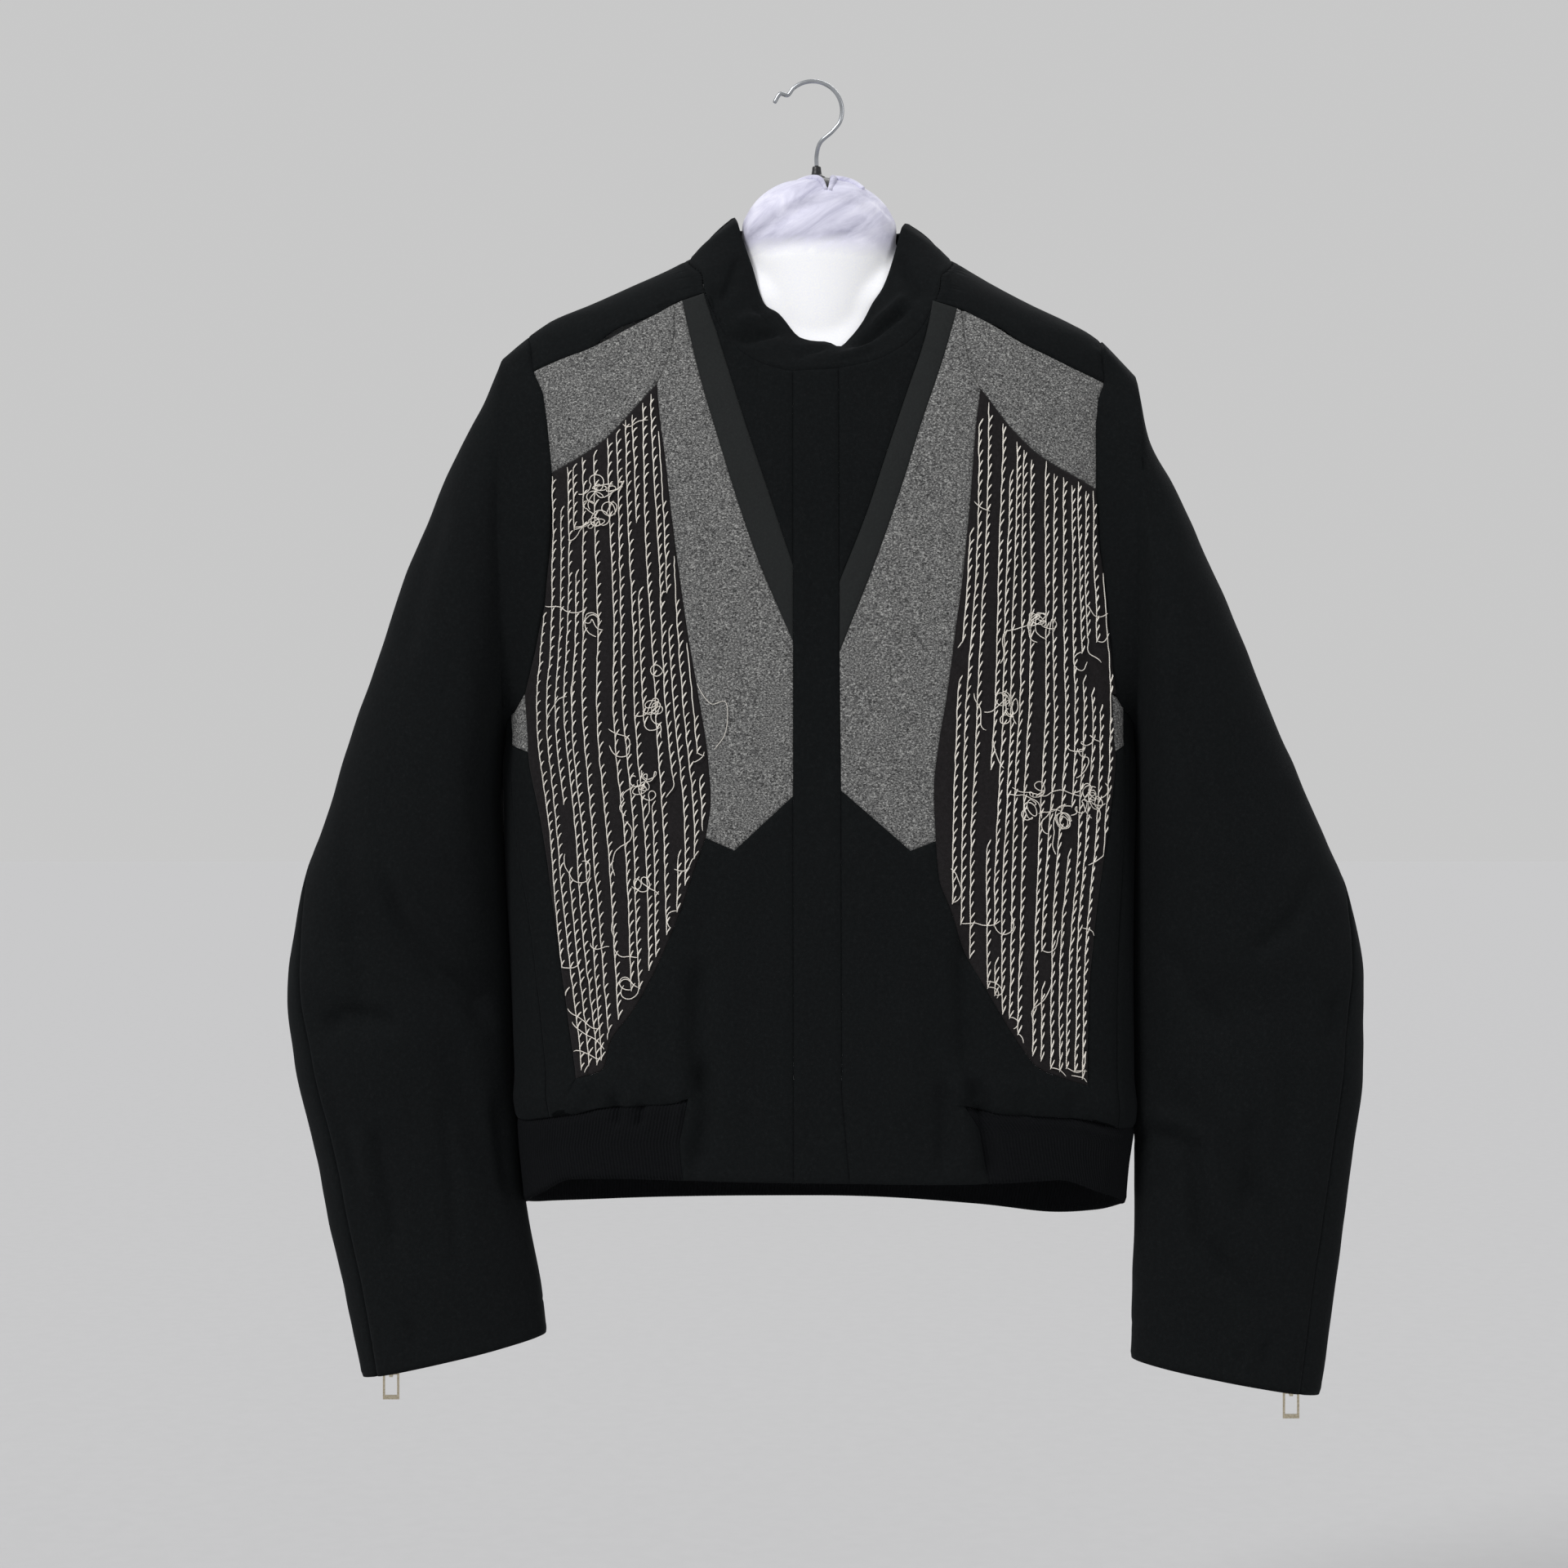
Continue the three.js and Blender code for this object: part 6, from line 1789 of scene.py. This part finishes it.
def finish_material(tree, colour, normal, **values):
    shader = add(tree, "ShaderNodeBsdfPrincipled", Base_Color=colour, Normal=normal, **values)
    add(tree, "ShaderNodeOutputMaterial", Surface=shader.outputs["BSDF"])


# %% [markdown]
# Felted wool is matt, with a soft fuzz that catches light at the edges. Its fibres lie every way, so
# two fine noises at about 0.5 and 2 mm break up the surface, and sheen stands for the fuzz.

# %% Wool
def wool(name, stops, fine=0.55, coarse=2.4, streak=1.0, bump=0.25, sheen=0.25, tint="#ffffff",
         gleam=0.2):
    """Felted or melange wool: colours mixed in fibres of real size, in millimetres."""
    mat, tree = material(name)
    place = add(tree, "ShaderNodeTexCoord").outputs["Object"]
    drawn = add(tree, "ShaderNodeMapping", Vector=place, Scale=(1, 1, streak)).outputs["Vector"]
    small = add(tree, "ShaderNodeTexNoise", Vector=drawn, Scale=1000 / fine, Detail=3.0, Roughness=0.65)
    large = add(tree, "ShaderNodeTexNoise", Vector=drawn, Scale=1000 / coarse, Detail=4.0, Roughness=0.6)
    mixed = add(tree, "ShaderNodeMix", {"data_type": "FLOAT"}, i0=0.45, i2=small.outputs["Fac"],
                i3=large.outputs["Fac"]).outputs[0]
    colour = ramp(tree, mixed, stops)
    bumped = add(tree, "ShaderNodeBump", Height=mixed, Strength=0.8, Distance=bump * MM)
    finish_material(tree, colour, bumped.outputs["Normal"], Roughness=0.92, Sheen_Weight=sheen,
                    Sheen_Roughness=0.5, Sheen_Tint=linear(tint), IOR=1.45, Specular_IOR_Level=gleam)
    return mat


MATERIALS = {
    # matt black felt: near black, its fuzz only just lighter
    "black_wool": wool("felted_black_wool", [(0.3, "#0b0d0e"), (0.55, "#121415"), (0.75, "#1d1f20")],
                       bump=0.22, sheen=0.03, tint="#9aa0a8", gleam=0.08),
    # ribbed knit: slightly lighter, because its loops stand up
    "rib_knit": wool("rib_knit_wool", [(0.3, "#090a0b"), (0.55, "#101113"), (0.75, "#191a1c")],
                     fine=0.45, coarse=1.2, bump=0.2, sheen=0.02, tint="#9aa0a8", gleam=0.08),
    # melange: light and dark fibres spun together, read as a speckle
    "grey_melange_wool": wool("grey_melange_wool", [(0.38, "#1c1c1c"), (0.46, "#4e4e4e"), (0.54, "#747473"),
                              (0.62, "#b2b2af")], fine=1.5, coarse=0.8, streak=1.5, bump=0.25, sheen=0.05,
                              gleam=0.12),
    # smooth worsted strip: one even dark grey
    "charcoal_strip": wool("charcoal_worsted", [(0.3, "#1d1e1f"), (0.55, "#232525"), (0.75, "#2b2d2d")],
                           fine=0.4, coarse=1.5, bump=0.1, sheen=0.03, gleam=0.15),
    # ground of the embroidered panels
    "embroidered_wool": wool("embroidery_ground_wool",
                             [(0.3, "#151414"), (0.5, "#1e1c1d"), (0.75, "#2a2829")],
                             bump=0.25, sheen=0.03, gleam=0.1),
    # dark woven zip tape
    "zip_tape": wool("zip_tape_weave", [(0.3, "#15161a"), (0.7, "#26272b")], fine=0.3, coarse=0.8, bump=0.1),
}


# %% [markdown]
# The embroidery thread is a pale, slightly glossy two-ply yarn, so its twist shows as a fine wave: in the
# bump, and in the colour as painted shade in the grooves and painted highlight on the plies.

# %% Thread, plastic and metals
def thread_material():
    mat, tree = material("pale_embroidery_yarn")
    place = add(tree, "ShaderNodeTexCoord").outputs["UV"]
    turned = add(tree, "ShaderNodeMapping", Vector=place,
                 Rotation=(0, 0, math.radians(35))).outputs["Vector"]
    ply = add(tree, "ShaderNodeTexWave", {"wave_type": "BANDS"}, Vector=turned, Scale=330.0, Distortion=1.5)
    where = add(tree, "ShaderNodeTexCoord").outputs["Object"]
    soil = add(tree, "ShaderNodeTexNoise", Vector=where, Scale=55.0)
    mixed = add(tree, "ShaderNodeMix", {"data_type": "FLOAT"}, i0=0.6, i2=ply.outputs["Fac"],
                i3=soil.outputs["Fac"]).outputs[0]
    # Through the ply bands the colour is darker in the grooves of the twist and lighter on its crests:
    # painted shade and highlight, mixed with a slow uneven soil.
    colour = ramp(tree, mixed, [(0.2, "#cbc4ba"), (0.5, "#e9e3d9"), (0.8, "#fbf7ef")])
    bumped = add(tree, "ShaderNodeBump", Height=ply.outputs["Fac"], Strength=0.7, Distance=0.12 * MM)
    finish_material(tree, colour, bumped.outputs["Normal"], Roughness=0.7, Sheen_Weight=0.2, IOR=1.5)
    return mat


def hard(name, stops, metallic, rough, size=1.5, bump=0.01):
    """Metal or plastic with faint wear in its colour, gloss and surface."""
    mat, tree = material(name)
    place = add(tree, "ShaderNodeTexCoord").outputs["Object"]
    wear = add(tree, "ShaderNodeTexNoise", Vector=place, Scale=1000 / size, Detail=5.0)
    colour = ramp(tree, wear.outputs["Fac"], stops)
    gloss = add(tree, "ShaderNodeMapRange", Value=wear.outputs["Fac"], To_Min=rough * 0.7,
                To_Max=rough * 1.4)
    bumped = add(tree, "ShaderNodeBump", Height=wear.outputs["Fac"], Strength=0.5, Distance=bump * MM)
    finish_material(tree, colour, bumped.outputs["Normal"], Metallic=metallic, IOR=1.5,
                    Roughness=gloss.outputs["Result"])
    return mat


MATERIALS["zip_metal"] = hard("plated_zip_metal", [(0.3, "#b0a58e"), (0.7, "#d2c8b2")], 1.0, 0.28)
MATERIALS["hook_wire"] = hard("bright_hook_wire", [(0.3, "#9da0a4"), (0.7, "#b9bcc0")], 1.0, 0.3, 14, 0.002)
MATERIALS["fitting_plastic"] = hard("black_fitting_plastic", [(0.3, "#101012"), (0.7, "#1a1a1c")], 0.0, 0.42)
YARN = thread_material()


def plush_cover():
    """Short-piled pale cover: a mottled lilac-grey near the top, and painted near white lower down, a painted
    highlight where the light washes the cover out.
    """
    mat, tree = material("plush_form_cover")
    place = add(tree, "ShaderNodeTexCoord").outputs["Object"]
    height = add(tree, "ShaderNodeSeparateXYZ", Vector=place).outputs["Z"]
    turned = add(tree, "ShaderNodeMapping", Vector=place,
                 Rotation=(0, math.radians(32), 0)).outputs["Vector"]
    leaned = add(tree, "ShaderNodeMapping", Vector=turned, Scale=(0.45, 0.8, 1.7)).outputs["Vector"]
    drift = add(tree, "ShaderNodeTexNoise", Vector=leaned, Scale=42.0, Detail=6.0, Roughness=0.62,
                Distortion=0.6).outputs["Fac"]
    pile = add(tree, "ShaderNodeTexNoise", Vector=place, Scale=900.0, Detail=2.0).outputs["Fac"]
    # The band's wavering edge, just below the dome, parts the pile's lilac-grey above from painted highlight
    # below, where the light washes the cover out to white.
    edge = add(tree, "ShaderNodeMath", {"operation": "MULTIPLY_ADD"}, i0=drift, i1=0.022,
               i2=height).outputs[0]
    band = add(tree, "ShaderNodeMapRange", Value=edge, From_Min=-0.118,
               From_Max=-0.104).outputs["Result"]
    brushed = add(tree, "ShaderNodeMath", {"operation": "MULTIPLY"}, i0=band, i1=drift).outputs[0]
    low = ramp(tree, pile, [(0.3, "#f8f9ff"), (0.7, "#ffffff")])
    high = ramp(tree, drift, [(0.34, "#b2b1c6"), (0.45, "#cccbde"), (0.55, "#dcdbed"), (0.68, "#edecfa")])
    colour = add(tree, "ShaderNodeMix", {"data_type": "RGBA"}, i0=band, i6=low, i7=high).outputs[2]
    nap = add(tree, "ShaderNodeMath", {"operation": "ADD"}, i0=brushed, i1=pile).outputs[0]
    bumped = add(tree, "ShaderNodeBump", Height=nap, Strength=0.6, Distance=0.12 * MM)
    finish_material(tree, colour, bumped.outputs["Normal"], Roughness=0.85, Sheen_Weight=0.3,
                    Sheen_Roughness=0.4, IOR=1.45, Specular_IOR_Level=0.2)
    return mat


MATERIALS["form_cover"] = plush_cover()


def dress(obj, mat):
    obj.data.materials.clear()
    obj.data.materials.append(mat)


for obj in list(scene.objects):
    if obj.type != "MESH":
        continue
    if obj.name.startswith("embroidery_"):
        dress(obj, YARN)
    elif obj.get("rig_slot") in MATERIALS:
        dress(obj, MATERIALS[obj["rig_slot"]])
print(len(bpy.data.materials), "materials")

# %% [markdown]
# ## Room and light
# A plain pale floor lies far below, and soft large lights stand round the jacket: a key from the
# upper left, a weaker fill from the right, and a pale sky that opens up the shadows of the black wool.

# %% Stage
def stage_mesh(name, points, faces, mat):
    mesh = bpy.data.meshes.new(name)
    mesh.from_pydata(points, [], faces)
    obj = bpy.data.objects.new(name, mesh)
    scene.collection.objects.link(obj)
    mesh.materials.append(mat)


floor_mat, floor_tree = material("pale_floor")
floor_place = add(floor_tree, "ShaderNodeTexCoord").outputs["Object"]
grain = add(floor_tree, "ShaderNodeTexNoise", Vector=floor_place, Scale=40.0)
floor_colour = ramp(floor_tree, grain.outputs["Fac"], [(0.3, "#bfbfc0"), (0.7, "#c1c1c2")])
floor_bump = add(floor_tree, "ShaderNodeBump", Height=grain.outputs["Fac"], Strength=0.1, Distance=MM)
finish_material(floor_tree, floor_colour, floor_bump.outputs["Normal"], Roughness=0.9,
                Specular_IOR_Level=0.05)
FLOOR_Z, FLOOR_HALF = -1.35, 30
corners = [(x * FLOOR_HALF, y * FLOOR_HALF, FLOOR_Z) for x, y in ((-1, -1), (1, -1), (1, 1), (-1, 1))]
stage_mesh("floor", corners, [(0, 1, 2, 3)], floor_mat)


def soft_light(name, azimuth, elevation, strength, spread=28, code="#ffffff"):
    """A broad far light: its wide angle softens every shadow."""
    light = bpy.data.lights.new(name, "SUN")
    light.energy = strength
    light.angle = math.radians(spread)
    light.color = linear(code)[:3]
    obj = bpy.data.objects.new(name, light)
    a, e = math.radians(azimuth), math.radians(elevation)
    place = Vector((math.sin(a) * math.cos(e), -math.cos(a) * math.cos(e), math.sin(e)))
    obj.rotation_euler = place.to_track_quat("Z", "Y").to_euler()
    obj.location = place * 3
    scene.collection.objects.link(obj)


soft_light("key_light", -42, 40, 1.7, 16)
soft_light("fill_light", 55, 15, 0.35)
soft_light("back_light", 160, 40, 0.7)
world = bpy.data.worlds.new("pale_room")
world.use_nodes = True
sky = world.node_tree.nodes["Background"].inputs
sky["Color"].default_value, sky["Strength"].default_value = linear("#ffffff"), 0.58
scene.world = world
scene.view_settings.view_transform = "Standard"
print("stage set")

# %% [markdown]
# ## What is cloth
# Every cut piece is declared with its flat size, its area and what it lies on.

# %% Declaring the cloth
for name, (piece, width, length, area, rests) in CUTS.items():
    print(name, "cut from", round(width * 1000), "x", round(length * 1000), "mm, area",
          round(area * 1e4), "cm2")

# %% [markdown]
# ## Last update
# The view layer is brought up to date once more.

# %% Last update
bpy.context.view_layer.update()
